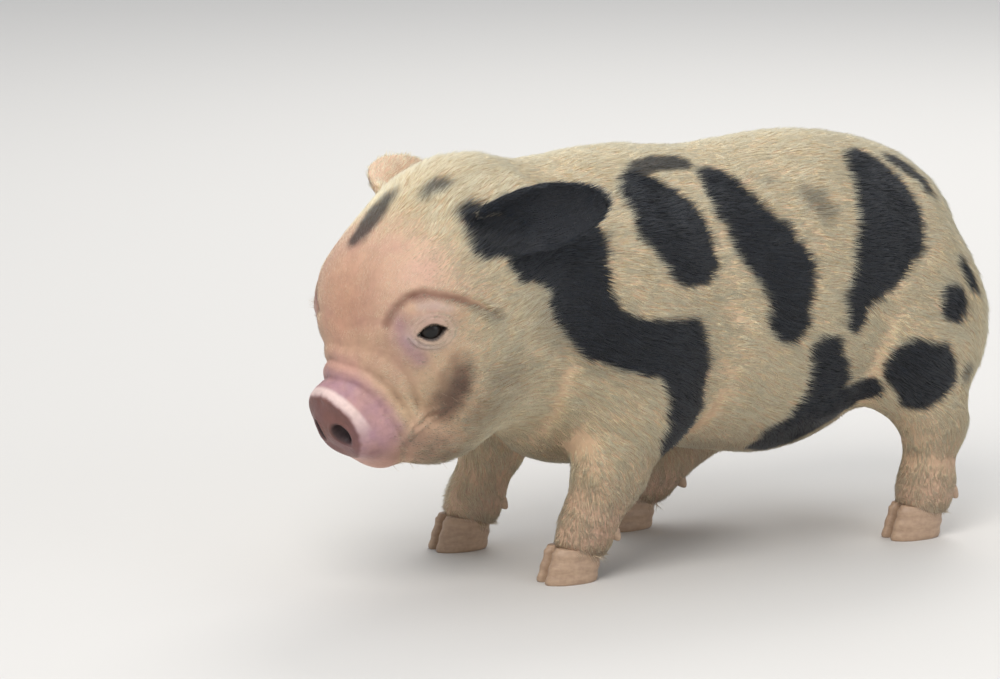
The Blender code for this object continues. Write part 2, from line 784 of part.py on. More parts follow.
# Tail: hangs close to the rump and swings a little to the left
TAIL = (
    vec(0.000, 0.100, 0.126),
    vec(0.001, 0.113, 0.122),
    vec(0.003, 0.1205, 0.112),
    vec(0.005, 0.1230, 0.100),
    vec(0.006, 0.1240, 0.088),
    vec(0.004, 0.1255, 0.078),
)
TAIL_RADII = (0.0070, 0.0062, 0.0048, 0.0038, 0.0030, 0.0022)


def tail(shapes):
    """A tapering tube along the tail's own curve."""
    return tube("tail", TAIL, TAIL_RADII, 4, 2, shapes)


def seat(piece, carriers, cutters):
    """Cuts the piece back to just clear of the surfaces that carry it."""
    for carrier in carriers:
        cutter = grown(carrier, GAP, cutters)
        boolean(piece, cutter, "DIFFERENCE")
        drop(cutter)
    return keep_largest(piece)


# Hooves
CLAW_LENGTH = 0.0240
CLAW_WIDTH = 0.0106
CLAW_HEIGHT = 0.0185
CLAW_SET_BACK = 0.0045
CLAW_AHEAD = 0.0040
CLAW_SHRINK = (0.16, 0.06)
INNER_SHARE = 0.62
HEEL_TAPER = 0.22
CLAW_COUNT, CLAW_LEVELS = 16, 5
CLEFT = 0.0012
DEWCLAW_SIZES = (0.0029, 0.0029, 0.0050)
DEWCLAW_ASIDE = 0.0056
DEWCLAW_HEIGHT = 0.0200
DEWCLAW_SUNK = 0.80
DEWCLAW_LEAN = (0.25, 0.55, -0.80)
TOE_POWER, INNER_POWER = 0.85, 0.35


def claw_ring(foot, side, share):
    """Points round one level of a claw: share is 0 at the sole and 1 at its full height."""
    half_length = CLAW_LENGTH / 2 * (1 - CLAW_SHRINK[0] * share)
    half_width = CLAW_WIDTH / 2 * (1 - CLAW_SHRINK[1] * share)
    middle = foot[1] - CLAW_AHEAD + CLAW_SET_BACK * share
    centre = foot[0] + side * (CLEFT / 2 + half_width * INNER_SHARE)
    ring = []
    for i in range(CLAW_COUNT):
        turn = 2 * math.pi * i / CLAW_COUNT
        forward, outward = -math.cos(turn), math.sin(turn)
        taper = 1 - HEEL_TAPER * max(0.0, -forward) ** 2
        reach = half_length * math.copysign(abs(forward) ** TOE_POWER, forward)
        if outward < 0:
            outward = -INNER_SHARE * abs(outward) ** INNER_POWER
        spread = half_width * outward * taper
        ring.append((centre + side * spread, middle + reach, CLAW_HEIGHT * share))
    return ring


def claw(name, leg, side, shapes, cutters):
    """One half of a cloven hoof: a blunt wedge with a flat sole, longer at the sole."""
    foot = LEGS[leg][4]
    model = bmesh.new()
    rings = []
    for level in range(CLAW_LEVELS):
        ring = claw_ring(foot, side, level / (CLAW_LEVELS - 1))
        rings.append([model.verts.new(spot) for spot in ring])
    model.faces.new(rings[0][::-1])
    model.faces.new(rings[-1])
    for low, high in zip(rings, rings[1:]):
        for i in range(CLAW_COUNT):
            j = (i + 1) % CLAW_COUNT
            model.faces.new((low[i], low[j], high[j], high[i]))
    bmesh.ops.recalc_face_normals(model, faces=model.faces)
    mesh = bpy.data.meshes.new(name)
    model.to_mesh(mesh)
    model.free()
    made = link(name, mesh, shapes)
    point, normal = coronet_plane(leg, CORONET_HEIGHT - GAP)
    below = half_space("below_coronet", point, -normal, cutters)
    boolean(made, below, "INTERSECT")
    drop(below)
    return made


def peg(name, centre, lean, extra, collection):
    """A dewclaw's ball, leaning and swollen by extra."""
    sizes = [size + extra for size in DEWCLAW_SIZES]
    turn = Matrix.Translation(Vector(centre)) @ lean @ Matrix.Diagonal((*sizes, 1))
    model = bmesh.new()
    bmesh.ops.create_uvsphere(model, u_segments=8, v_segments=6, radius=1, matrix=turn)
    mesh = bpy.data.meshes.new(name)
    model.to_mesh(mesh)
    model.free()
    return link(name, mesh, collection)


def dewclaw(name, leg, side, shapes, cutters):
    """A small horn peg behind the fetlock, sunk in its own socket in the leg."""
    fetlock = LEGS[leg][3]
    radius = (FORE_RADII if leg.startswith("fore") else HIND_RADII)[3]
    aside, behind = side * DEWCLAW_ASIDE, DEWCLAW_SUNK * radius
    centre = vec(fetlock[0] + aside, fetlock[1] + behind, DEWCLAW_HEIGHT)
    heading = Vector((side * DEWCLAW_LEAN[0], *DEWCLAW_LEAN[1:]))
    lean = heading.to_track_quat("Z", "Y").to_matrix().to_4x4()
    socket = peg("socket", centre, lean, GAP, cutters)
    boolean(bpy.data.objects[leg], socket, "DIFFERENCE")
    drop(socket)
    return peg(name, centre, lean, 0, shapes)


def centre_on_floor(pieces):
    """Moves the model so that its box stands centred on the origin."""
    points = np.concatenate([places(piece.data) for piece in pieces])
    low, high = points.min(axis=0), points.max(axis=0)
    shift = Matrix.Translation((-(low[0] + high[0]) / 2, -(low[1] + high[1]) / 2, -low[2]))
    for piece in pieces:
        piece.data.transform(shift)


def main():
    """Builds every node."""
    for old in list(bpy.data.objects):
        bpy.data.objects.remove(old)
    scene = bpy.context.scene.collection
    shapes = bpy.data.collections.new("piglet")
    cutters = bpy.data.collections.new("cutters")
    scene.children.link(shapes)
    scene.children.link(cutters)

    coat, black, pink, horn, wet = (finish(name, *values) for name, values in FINISHES.items())

    body = whole_animal("body", COARSE_VOXEL, BODY_TRIANGLES, None, cutters)
    head_region = (np.array(HEAD_CENTRE), HEAD_REACH)
    fine = whole_animal("fine", FINE_VOXEL, HEAD_TRIANGLES, head_region, cutters)
    pieces = [dress(piece, coat) for piece in part_body(body, shapes, cutters)]
    head, *eyes = part_head(fine, shapes, cutters)
    pieces += [dress(head, coat), dress(snout_disc(shapes, cutters), pink)]
    pieces += [dress(eye, wet) for eye in eyes]
    drop(body, fine)

    for name, skin in (("ear_left", black), ("ear_right", pink)):
        carriers = (head, bpy.data.objects["neck"])
        pieces.append(dress(seat(ear(name, shapes), carriers, cutters), skin))
    torso = bpy.data.objects["torso"]
    pieces.append(dress(seat(tail(shapes), (torso,), cutters), black))
    for leg in LEGS:
        for label, side in (("inner", -1), ("outer", 1)):
            outward = side if LEGS[leg][4][0] > 0 else -side
            name = leg.replace("leg", "") + "_claw_" + label
            pieces.append(dress(claw(name, leg, outward, shapes, cutters), horn))
            name = leg.replace("leg", "") + "_dewclaw_" + label
            pieces.append(dress(dewclaw(name, leg, outward, shapes, cutters), horn))
    centre_on_floor(pieces)


main()
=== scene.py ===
"""Looks for a life-size spotted piglet: one seamless skin, a short coat and a plain studio.

Lengths are metres. Forms are worked out in the animal's own axes: +X is its left side, -Y is
ahead, +Z is up, and its soles stand on Z = 0.
"""

import logging
import math
from dataclasses import dataclass, field
from enum import Enum
from functools import cached_property
from typing import Callable, Optional, Sequence, Union

import bmesh
import bpy
import numpy as np
from mathutils import Matrix, Vector
from mathutils.bvhtree import BVHTree


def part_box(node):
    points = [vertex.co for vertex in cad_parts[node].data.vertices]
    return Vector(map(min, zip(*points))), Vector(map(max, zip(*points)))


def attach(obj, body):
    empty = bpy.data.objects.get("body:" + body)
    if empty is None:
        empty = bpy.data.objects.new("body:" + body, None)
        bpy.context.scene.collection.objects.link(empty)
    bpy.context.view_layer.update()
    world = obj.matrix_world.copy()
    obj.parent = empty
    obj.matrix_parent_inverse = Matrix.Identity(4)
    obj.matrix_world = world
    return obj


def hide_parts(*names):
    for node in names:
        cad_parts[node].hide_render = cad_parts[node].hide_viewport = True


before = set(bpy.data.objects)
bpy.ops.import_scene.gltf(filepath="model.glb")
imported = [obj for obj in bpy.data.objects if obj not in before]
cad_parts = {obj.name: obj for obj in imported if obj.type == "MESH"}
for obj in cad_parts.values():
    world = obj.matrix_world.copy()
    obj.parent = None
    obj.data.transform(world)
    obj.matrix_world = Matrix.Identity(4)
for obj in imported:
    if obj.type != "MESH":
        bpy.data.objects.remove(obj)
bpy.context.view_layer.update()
MM = 0.001
TINY = 1e-9
FAR = 1.0
SLOPE_REACH = 0.15 * MM
LEAST_STEEPNESS = 0.05
Array = np.ndarray
Form = Callable[[Array], Array]
Triple = tuple[float, float, float]
Spot = tuple[float, float, float, float]
Colour = tuple[float, float, float, float]
log = logging.getLogger("piglet")


def vec(*numbers: float) -> Array:
    """A point or direction as an array."""
    return np.array(numbers, float)


def unit(direction: Array) -> Array:
    """The direction, or each row of directions, with length 1."""
    return direction / np.maximum(np.linalg.norm(direction, axis=-1, keepdims=True), TINY)


def ease(low: float, high: float, value: Array) -> Array:
    """A smooth step from 0 at low to 1 at high; high may lie under low."""
    share = np.clip((value - low) / (high - low), 0, 1)
    return share * share * (3 - 2 * share)


def mix(first: Array, second: Array, share: Array) -> Array:
    """The value between first and second at this share."""
    return first + (second - first) * share


def blend(first: Array, second: Array, width: float) -> Array:
    """The union of two distance fields, rounded over the given width."""
    near = np.clip(1 - np.abs(first - second) / width, 0, 1)
    return np.minimum(first, second) - near * near * width / 4


def bell(offset: Array, width: float) -> Array:
    """A bump that is 1 at offset 0 and fades over the width."""
    return np.exp(-np.square(offset / width))


def mirrored(points: Array, axis: int, soft: float = 0.0) -> Array:
    """The points with one coordinate made positive, rounded near 0 over the soft width.

    Args:
        points: Rows of positions.
        axis: The coordinate.
        soft: The soft width.

    Returns:
        The mirrored points.
    """
    folded = points.copy()
    folded[:, axis] = np.hypot(folded[:, axis], soft)
    return folded


class Grain:
    """Smooth seeded noise between -1 and 1 over space."""

    SIDE = 32

    def __init__(self, seed: int) -> None:
        """Draws the lattice of values."""
        self.lattice = np.random.default_rng(seed).uniform(-1, 1, (self.SIDE,) * 3)

    def at(self, points: Array, size: float) -> Array:
        """Reads the noise.

        Args:
            points: Rows of positions.
            size: Distance between the noise's knots.

        Returns:
            One value for each position.
        """
        spot = points / size
        cell = np.floor(spot).astype(int)
        part = spot - cell
        part = part * part * (3 - 2 * part)
        total = np.zeros(len(points))
        for corner in np.ndindex(2, 2, 2):
            weight = np.prod(np.where(corner, part, 1 - part), axis=1)
            i, j, k = ((cell + corner) % self.SIDE).T
            total += weight * self.lattice[i, j, k]
        return total


@dataclass(frozen=True)
class HeadAxes:
    """The head's own axes: forward, left and up, turned a little to the left and dropped."""

    centre: Triple = (0.010, -0.137, 0.119)
    turn: float = math.radians(12)
    drop: float = math.radians(28)

    @cached_property
    def rows(self) -> Array:
        """Forward, left and up as rows."""
        ahead, aside = math.cos(self.turn), math.sin(self.turn)
        level, down = math.cos(self.drop), math.sin(self.drop)
        return np.array([
            (aside * level, -ahead * level, -down),
            (ahead, aside, 0),
            (aside * down, -ahead * down, level),
        ])

    def point(self, spots: Array) -> Array:
        """Spots in the head's axes, as points."""
        return np.array(self.centre) + np.asarray(spots) @ self.rows

    def local(self, points: Array) -> Array:
        """Points, as spots in the head's axes."""
        return (points - np.array(self.centre)) @ self.rows.T


HEAD = HeadAxes()


@dataclass(frozen=True)
class Ball:
    """An ellipsoid mass: its centre, its half sizes, and how wide it melts into the rest."""

    centre: Triple
    sizes: Triple
    melt: float
    mirror: Optional[int] = None
    soft: float = 3 * MM

    def form(self, points: Array) -> Array:
        """Distance to the mass, or to the nearer of a pair mirrored on the given axis.

        Args:
            points: Rows of positions.

        Returns:
            One distance for each position.
        """
        if self.mirror is not None:
            points = mirrored(points, self.mirror, self.soft)
        offset = points - np.array(self.centre)
        scaled = np.linalg.norm(offset / self.sizes, axis=1)
        steep = np.linalg.norm(offset / np.square(self.sizes), axis=1)
        return scaled * (scaled - 1) / np.maximum(steep, TINY)


@dataclass(frozen=True)
class Cone:
    """A round-ended cone between two points, flattened along one axis."""

    start: Triple
    end: Triple
    radii: tuple[float, float]
    melt: float
    flatness: float = 1.0
    flat_axis: int = 0

    def form(self, points: Array) -> Array:
        """Distance to the cone.

        Args:
            points: Rows of positions.

        Returns:
            One distance for each position.
        """
        start, along = np.array(self.start), np.subtract(self.end, self.start)
        share = np.clip(((points - start) @ along) / (along @ along), 0, 1)
        offset = points - start - share[:, None] * along
        offset[:, self.flat_axis] /= self.flatness
        return np.linalg.norm(offset, axis=1) - mix(*self.radii, share)


def melted(masses: Sequence[Union[Ball, Cone]], points: Array) -> Array:
    """Distance to masses that melt into each other one after another.

    Args:
        masses: The masses.
        points: Rows of positions.

    Returns:
        One distance for each position.
    """
    form = masses[0].form(points)
    for mass in masses[1:]:
        form = blend(form, mass.form(points), mass.melt)
    return form


def chain(spots: Array) -> list[Cone]:
    """Cones through a chain of round spots, each row of which is a place and a radius."""
    pairs = zip(spots, spots[1:]) if len(spots) > 1 else [(spots[0], spots[0] + 1e-6)]
    return [Cone(tuple(a[:3]), tuple(b[:3]), (a[3], b[3]), 0) for a, b in pairs]


def chain_gap(points: Array, spots: Array) -> Array:
    """Distance from each point to a chain of round spots."""
    return np.min([cone.form(points) for cone in chain(spots)], axis=0)


def route_gap(points: Array, route: Sequence[Sequence[float]]) -> Array:
    """Distance from each point to the nearest place on a route."""
    return chain_gap(points, np.column_stack([route, np.zeros(len(route))]))


class Leg(Enum):
    """The four legs by the names of their nodes."""

    FORE_LEFT = "foreleg_left"
    FORE_RIGHT = "foreleg_right"
    HIND_LEFT = "hindleg_left"
    HIND_RIGHT = "hindleg_right"

    @property
    def is_fore(self) -> bool:
        """Whether it is a front leg."""
        return self.value.startswith("fore")

    @property
    def side(self) -> int:
        """1 on the animal's left, -1 on its right."""
        return 1 if self.value.endswith("left") else -1


HALF_STANCE = 0.036
LEG_JOINTS = {
    Leg.FORE_LEFT: (
        (0.030, -0.060, 0.100),
        (0.037, -0.057, 0.072),
        (0.037, -0.073, 0.043),
        (HALF_STANCE, -0.082, 0.023),
        (HALF_STANCE, -0.088, 0.010),
    ),
    Leg.FORE_RIGHT: (
        (-0.030, -0.060, 0.100),
        (-0.036, -0.068, 0.072),
        (-0.036, -0.087, 0.046),
        (-HALF_STANCE, -0.096, 0.023),
        (-HALF_STANCE, -0.101, 0.010),
    ),
    Leg.HIND_LEFT: (
        (0.028, 0.070, 0.105),
        (0.037, 0.072, 0.082),
        (0.037, 0.0855, 0.050),
        (HALF_STANCE, 0.0830, 0.023),
        (HALF_STANCE, 0.0790, 0.010),
    ),
    Leg.HIND_RIGHT: (
        (-0.028, 0.060, 0.105),
        (-0.037, 0.034, 0.077),
        (-0.037, 0.027, 0.0465),
        (-HALF_STANCE, -0.009, 0.0255),
        (-HALF_STANCE, -0.021, 0.010),
    ),
}
FORE_RADII = (0.024, 0.0195, 0.0142, 0.0106, 0.0112)
HIND_RADII = (0.028, 0.0200, 0.0136, 0.0108, 0.0112)
JOINT_MELT = 0.010
LEG_FLATNESS = 0.92


def leg_cones(leg: Leg) -> list[Cone]:
    """One leg as a chain of cones from its upper joint to its foot."""
    ends = list(zip(LEG_JOINTS[leg], FORE_RADII if leg.is_fore else HIND_RADII))
    return [Cone(a, b, (r, s), JOINT_MELT, LEG_FLATNESS) for (a, r), (b, s) in zip(ends, ends[1:])]


@dataclass(frozen=True)
class Eye:
    """Sizes and place of an eye in the head's axes, given for the left side."""

    radius: float = 0.0060
    lid: float = 0.0012
    sunk: float = 0.0002
    half_width: float = 0.0053
    half_height: float = 0.0028
    mark: Triple = (0.0285, 0.0305, 0.0090)

    @cached_property
    def axes(self) -> Array:
        """Outward, along the slit and across it, as rows."""
        outward = unit(vec(0.42, 0.90, 0.10))
        slit = unit(np.cross(vec(-0.26, 0, 1), outward))
        return np.array([outward, slit, np.cross(outward, slit)])

    @cached_property
    def centre(self) -> Array:
        """The ball's centre, set back from the skull's surface."""
        surface = onto(vec(*self.mark)[None], SKULL.skull, steps=6)[0]
        return surface - self.axes[0] * (self.radius + self.sunk)

    def local(self, head_local: Array) -> Array:
        """Spots of the head seen from the eye's centre, in the eye's axes."""
        return (mirrored(head_local, 1) - self.centre) @ self.axes.T


@dataclass(frozen=True)
class Disc:
    """The flat end of the snout, in the head's axes."""

    centre: Triple = (0.0650, 0, -0.0160)
    radius: float = 0.0173
    thickness: float = 0.0070
    overhang: float = 0.0006
    width_ratio: float = 0.91
    tilt: float = math.radians(8)
    edge: float = 0.0028
    nostril_aside: float = 0.0069
    nostril_drop: float = 0.0004
    nostril_sizes: tuple[float, float] = (0.0035, 0.0052)
    nostril_lean: float = math.radians(16)

    @cached_property
    def axes(self) -> Array:
        """Outward, left and up over the disc, as rows."""
        level, down = math.cos(self.tilt), math.sin(self.tilt)
        return np.array([(level, 0, -down), (0, 1, 0), (down, 0, level)])

    def local(self, head_local: Array) -> Array:
        """Spots of the head seen from the disc's centre, in the disc's axes."""
        return (head_local - np.array(self.centre)) @ self.axes.T

    def share(self, flat: Array) -> Array:
        """0 at the disc's middle and 1 at its edge, for spots in the disc's axes."""
        return np.hypot(flat[:, 1] / self.width_ratio, flat[:, 2]) / self.radius

    def nostrils(self, flat: Array) -> Array:
        """0 in the middle of a nostril and 1 at its edge, for spots in the disc's axes.

        Args:
            flat: Spots in the disc's axes.

        Returns:
            One value for each.
        """
        aside = np.abs(flat[:, 1]) - self.nostril_aside
        rise = flat[:, 2] + self.nostril_drop
        level, lean = math.cos(self.nostril_lean), math.sin(self.nostril_lean)
        wide = (aside * level + rise * lean) / self.nostril_sizes[0]
        return np.hypot(wide, (rise * level - aside * lean) / self.nostril_sizes[1])

    def form(self, head_local: Array) -> Array:
        """Distance to the rounded plate.

        Args:
            head_local: Spots of the head.

        Returns:
            One distance for each.
        """
        flat = self.local(head_local)
        over = np.abs(flat[:, 0]) - self.thickness / 2 + self.edge
        from_axis = np.hypot(flat[:, 1] / self.width_ratio, flat[:, 2])
        out = from_axis - self.radius + self.overhang + self.edge
        plate = np.hypot(np.maximum(over, 0), np.maximum(out, 0)) - self.edge
        return plate + np.minimum(np.maximum(over, out), 0)


def slope_of(form: Form, points: Array, value: Array) -> Array:
    """The slope of a form.

    Args:
        form: The distance field.
        points: Rows of positions.
        value: The form's value at each.

    Returns:
        Rows of slopes along the three axes.
    """
    slope = np.empty_like(points)
    for axis in range(3):
        nudge = np.zeros(3)
        nudge[axis] = SLOPE_REACH
        slope[:, axis] = (form(points + nudge) - value) / SLOPE_REACH
    return slope


def stepped(points: Array, value: Array, slope: Array, longest: float) -> Array:
    """Moves points along a slope towards where its form is 0.

    Args:
        points: Rows of positions.
        value: The form's value at each.
        slope: The form's slope at each.
        longest: The longest move.

    Returns:
        The moved points.
    """
    steep = np.maximum((slope**2).sum(axis=1), LEAST_STEEPNESS)
    move = -(value / steep)[:, None] * slope
    length = np.linalg.norm(move, axis=1)
    return points + move * np.minimum(1, longest / np.maximum(length, TINY))[:, None]


def onto(points: Array, form: Form, steps: int) -> Array:
    """Brings points onto a form's surface.

    Args:
        points: Rows of positions.
        form: The distance field.
        steps: How many moves are made.

    Returns:
        The moved points.
    """
    for _ in range(steps):
        value = form(points)
        points = stepped(points, value, slope_of(form, points, value), 4 * MM)
    return points


EYE = Eye()
DISC = Disc()
BROW_ARC = (
    (0.0423, 0.0224, 0.0182),
    (0.0367, 0.0262, 0.0232),
    (0.0317, 0.0295, 0.0252),
    (0.0269, 0.0329, 0.0249),
    (0.0225, 0.0371, 0.0210),
    (0.0175, 0.0400, 0.0165),
    (0.0130, 0.0422, 0.0109),
    (0.0054, 0.0443, 0.0003),
)


@dataclass(frozen=True)
class SkullForm:
    """Skull, brow, cheeks, muzzle, jaw, lips and disc, in the head's axes."""

    masses: tuple[Union[Ball, Cone], ...] = (
        Ball((-0.010, 0, 0.006), (0.040, 0.038, 0.037), 0),
        Ball((0.0145, 0.0125, 0.006), (0.0320, 0.029, 0.0318), 0.014, mirror=1),
        Ball((0.004, 0.019, -0.022), (0.034, 0.022, 0.027), 0.014, mirror=1),
        Cone((0.022, 0, -0.006), (0.0595, 0, -0.0155), (0.0270, 0.0160), 0.016, 0.97, 1),
        Cone((-0.002, 0, -0.0385), (0.0535, 0, -0.0342), (0.0225, 0.0122), 0.012, 1.25, 1),
        Ball((0.022, 0.009, -0.0405), (0.027, 0.016, 0.0190), 0.010, mirror=1),
        Ball((0.050, 0.009, -0.0245), (0.019, 0.0090, 0.010), 0.008, mirror=1),
    )
    disc_melt: float = 0.0030
    lid_melt: float = 0.0040

    def skull(self, head_local: Array) -> Array:
        """Distance to the skull with its disc."""
        return blend(melted(self.masses, head_local), DISC.form(head_local), self.disc_melt)

    def head(self, points: Array) -> Array:
        """Distance to the head with the swelling of its lids.

        Args:
            points: Rows of positions.

        Returns:
            One distance for each.
        """
        head_local = HEAD.local(points)
        lids = np.linalg.norm(EYE.local(head_local), axis=1) - EYE.radius - EYE.lid
        return blend(self.skull(head_local), lids, self.lid_melt)


@dataclass(frozen=True)
class Tail:
    """A thin tail that hangs close to the rump and swings a little to the left."""

    route: tuple[Triple, ...] = (
        (0.000, 0.100, 0.126),
        (0.001, 0.113, 0.122),
        (0.003, 0.1205, 0.112),
        (0.005, 0.1230, 0.100),
        (0.006, 0.1240, 0.088),
        (0.004, 0.1255, 0.078),
    )
    radii: tuple[float, ...] = (0.0070, 0.0062, 0.0048, 0.0038, 0.0030, 0.0022)
    coat: float = 0.0007
    ahead: float = 0.085
    cuts: int = 3

    @cached_property
    def stations(self) -> Array:
        """Points and radii along the tail, its corners cut some times over."""
        rows = np.column_stack([self.route, np.subtract(self.radii, self.coat)])
        for _ in range(self.cuts):
            cuts = np.stack([mix(rows[:-1], rows[1:], 0.25), mix(rows[:-1], rows[1:], 0.75)], axis=1)
            rows = np.concatenate([rows[:1], cuts.reshape(-1, 4), rows[-1:]])
        return rows[::3]

    def form(self, points: Array) -> Array:
        """Distance to the tail, worked out only near it.

        Args:
            points: Rows of positions.

        Returns:
            One distance for each.
        """
        form = np.full(len(points), FAR)
        near = points[:, 1] > self.ahead
        if near.any():
            form[near] = chain_gap(points[near], self.stations)
        return form


SKULL = SkullForm()
TAIL = Tail()
TORSO = (
    Ball((0, -0.046, 0.108), (0.049, 0.060, 0.0600), 0),
    Ball((0, 0.014, 0.1045), (0.060, 0.065, 0.0678), 0.030),
    Ball((0, 0.059, 0.118), (0.050, 0.053, 0.050), 0.030),
    Ball((0, -0.078, 0.082), (0.034, 0.036, 0.040), 0.022),
    Ball((0.034, -0.060, 0.099), (0.022, 0.034, 0.043), 0.014, mirror=0),
    Ball((0.031, 0.079, 0.091), (0.025, 0.0345, 0.040), 0.014, mirror=0),
)
NECK = Cone((0, -0.066, 0.115), (0.008, -0.122, 0.1320), (0.051, 0.0430), 0.030)
HEAD_CUT = (vec(0.006, -0.1085, 0.120), unit(vec(-0.10, 1, 0.06)))
NECK_CUT = (vec(0, -0.084, 0.110), unit(vec(0, 1, -0.12)))
LEG_MELT = 0.012
HEAD_MELT = 0.016
TAIL_MELT = 0.005
FOOT_TOP = 0.03
CORONET_HEIGHT = 0.0120
CORONET_SLANT = 0.20
CORONET_TUCK = 1.3 * MM


def behind(points: Array, cut: tuple[Array, Array]) -> Array:
    """How far points lie behind a cut, given by a place on it and its normal."""
    return (points - cut[0]) @ cut[1]


def leg_form(points: Array, leg: Leg) -> Array:
    """Distance to one leg."""
    return melted(leg_cones(leg), points)


def torso_form(points: Array) -> Array:
    """Distance to barrel, rump, shoulders, brisket and hams."""
    return melted(TORSO, points)


def body_form(points: Array) -> Array:
    """Distance to the whole animal without ears and hooves, its legs ending at the coronet.

    Args:
        points: Rows of positions.

    Returns:
        One distance for each.
    """
    form = blend(torso_form(points), NECK.form(points), NECK.melt)
    for leg in Leg:
        form = blend(form, leg_form(points, leg), LEG_MELT)
    form = blend(form, SKULL.head(points), HEAD_MELT)
    form = blend(form, TAIL.form(points), TAIL_MELT)
    below = points[:, 2] < FOOT_TOP
    if below.any():
        foot_y = points[:, 1] - nearest_foot(points)[:, 1]
        sole = CORONET_HEIGHT - points[:, 2] - CORONET_SLANT * foot_y
        tuck = CORONET_TUCK * ease(0.0045, 0.0, -sole)
        form = np.where(below, np.maximum(form + tuck, sole), form)
    return form


def nearest_foot(points: Array) -> Array:
    """The foot joint nearest to each point.

    Args:
        points: Rows of positions.

    Returns:
        One joint for each.
    """
    feet = np.array([LEG_JOINTS[leg][4] for leg in Leg])
    gaps = np.linalg.norm(points[:, None, :2] - feet[None, :, :2], axis=2)
    return feet[gaps.argmin(axis=1)]


@dataclass(frozen=True)
class Ear:
    """A cupped ear, rolled nearly shut at its root and open at its rounded tip, in the head's axes."""

    root: Array
    tip: Array
    opening: Array
    length: float = 0.050
    stand: float = 0.017
    root_roll: float = 0.0068
    tip_roll: float = 0.026
    half_width: float = 0.0165
    half_thickness: float = 0.0007
    rounding_start: float = 0.45
    rounding_power: float = 2.4
    root_width: float = 0.72
    widening: float = 0.7
    least_width: float = 0.14
    rows: int = 60
    columns: int = 34
    spacing: float = 0.8

    def sheet(self, share: Array, cross: Array) -> Array:
        """Points of the ear's middle sheet.

        Args:
            share: 0 at the root, 1 at the tip.
            cross: -1 and 1 at the two edges.

        Returns:
            The points, as rows.
        """
        share, cross = share[:, None], cross[:, None]
        root, along = self.root, unit(self.tip)
        opening = unit(self.opening - (self.opening @ along) * along)
        across = np.cross(opening, along)
        bend = root + unit(vec(0, *self.root[1:])) * self.stand
        end = root + along * self.length
        spot = (1 - share) ** 2 * root + 2 * share * (1 - share) * bend + share**2 * end
        heading = unit((1 - share) * (bend - root) + share * (end - bend))
        facing = np.cross(heading, across)
        facing *= np.sign(facing @ opening)[:, None]
        past = np.maximum(0, (share - self.rounding_start) / (1 - self.rounding_start))
        rounding = np.sqrt(np.maximum(0, 1 - past**self.rounding_power))
        width = self.half_width * np.minimum(1, self.root_width + self.widening * share)
        width = width * np.maximum(self.least_width, rounding)
        roll = mix(self.root_roll, self.tip_roll, share)
        angle = cross * width / roll
        return spot + across * roll * np.sin(angle) + facing * roll * (1 - np.cos(angle))

    @cached_property
    def grid(self) -> tuple[Array, Array]:
        """The sheet's points in the animal's axes, and its square faces."""
        share, cross = np.meshgrid(
            np.linspace(0, 1, self.rows) ** self.spacing, np.linspace(-1, 1, self.columns), indexing="ij"
        )
        points = HEAD.point(self.sheet(share.ravel(), cross.ravel()))
        corner = np.arange(self.rows * self.columns).reshape(self.rows, self.columns)
        low, high = corner[:-1], corner[1:]
        faces = np.stack([low[:, :-1], low[:, 1:], high[:, 1:], high[:, :-1]], axis=-1)
        return points, faces.reshape(-1, 4)

    @cached_property
    def tree(self) -> BVHTree:
        """The sheet, ready to be searched."""
        points, faces = self.grid
        return BVHTree.FromPolygons(points.tolist(), faces.tolist())

    def near(self, points: Array, reach: float) -> Array:
        """The numbers of the points that lie within reach of the sheet's box.

        Args:
            points: Rows of positions.
            reach: How far past the box still counts.

        Returns:
            Whole numbers in rising order.
        """
        sheet = self.grid[0]
        low, high = sheet.min(axis=0) - reach, sheet.max(axis=0) + reach
        return np.flatnonzero(((points > low) & (points < high)).all(axis=1))

    def nearest(self, points: Array) -> tuple[Array, Array, Array]:
        """Finds each point's nearest place on the sheet.

        Args:
            points: Rows of positions.

        Returns:
            The places, the distances, and the share of the ear's length at each.
        """
        spots, gaps, shares = np.empty_like(points), np.empty(len(points)), np.empty(len(points))
        for i, point in enumerate(points):
            spot, _, face, gap = self.tree.find_nearest(point)
            spots[i], gaps[i] = spot, gap
            shares[i] = (face // (self.columns - 1) / (self.rows - 1)) ** self.spacing
        return spots, gaps, shares


EARS = (
    Ear(vec(-0.013, 0.0290, 0.0255), vec(-0.80, 0.58, -0.16), vec(0.58, 0.78, 0.05)),
    Ear(vec(-0.015, -0.0275, 0.0245), vec(-0.83, -0.51, -0.30), vec(0.44, -0.86, 0.16)),
)
EYE_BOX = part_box("eye_left")
CAD_SHIFT = np.array((EYE_BOX[0] + EYE_BOX[1]) / 2) - HEAD.point(EYE.centre)


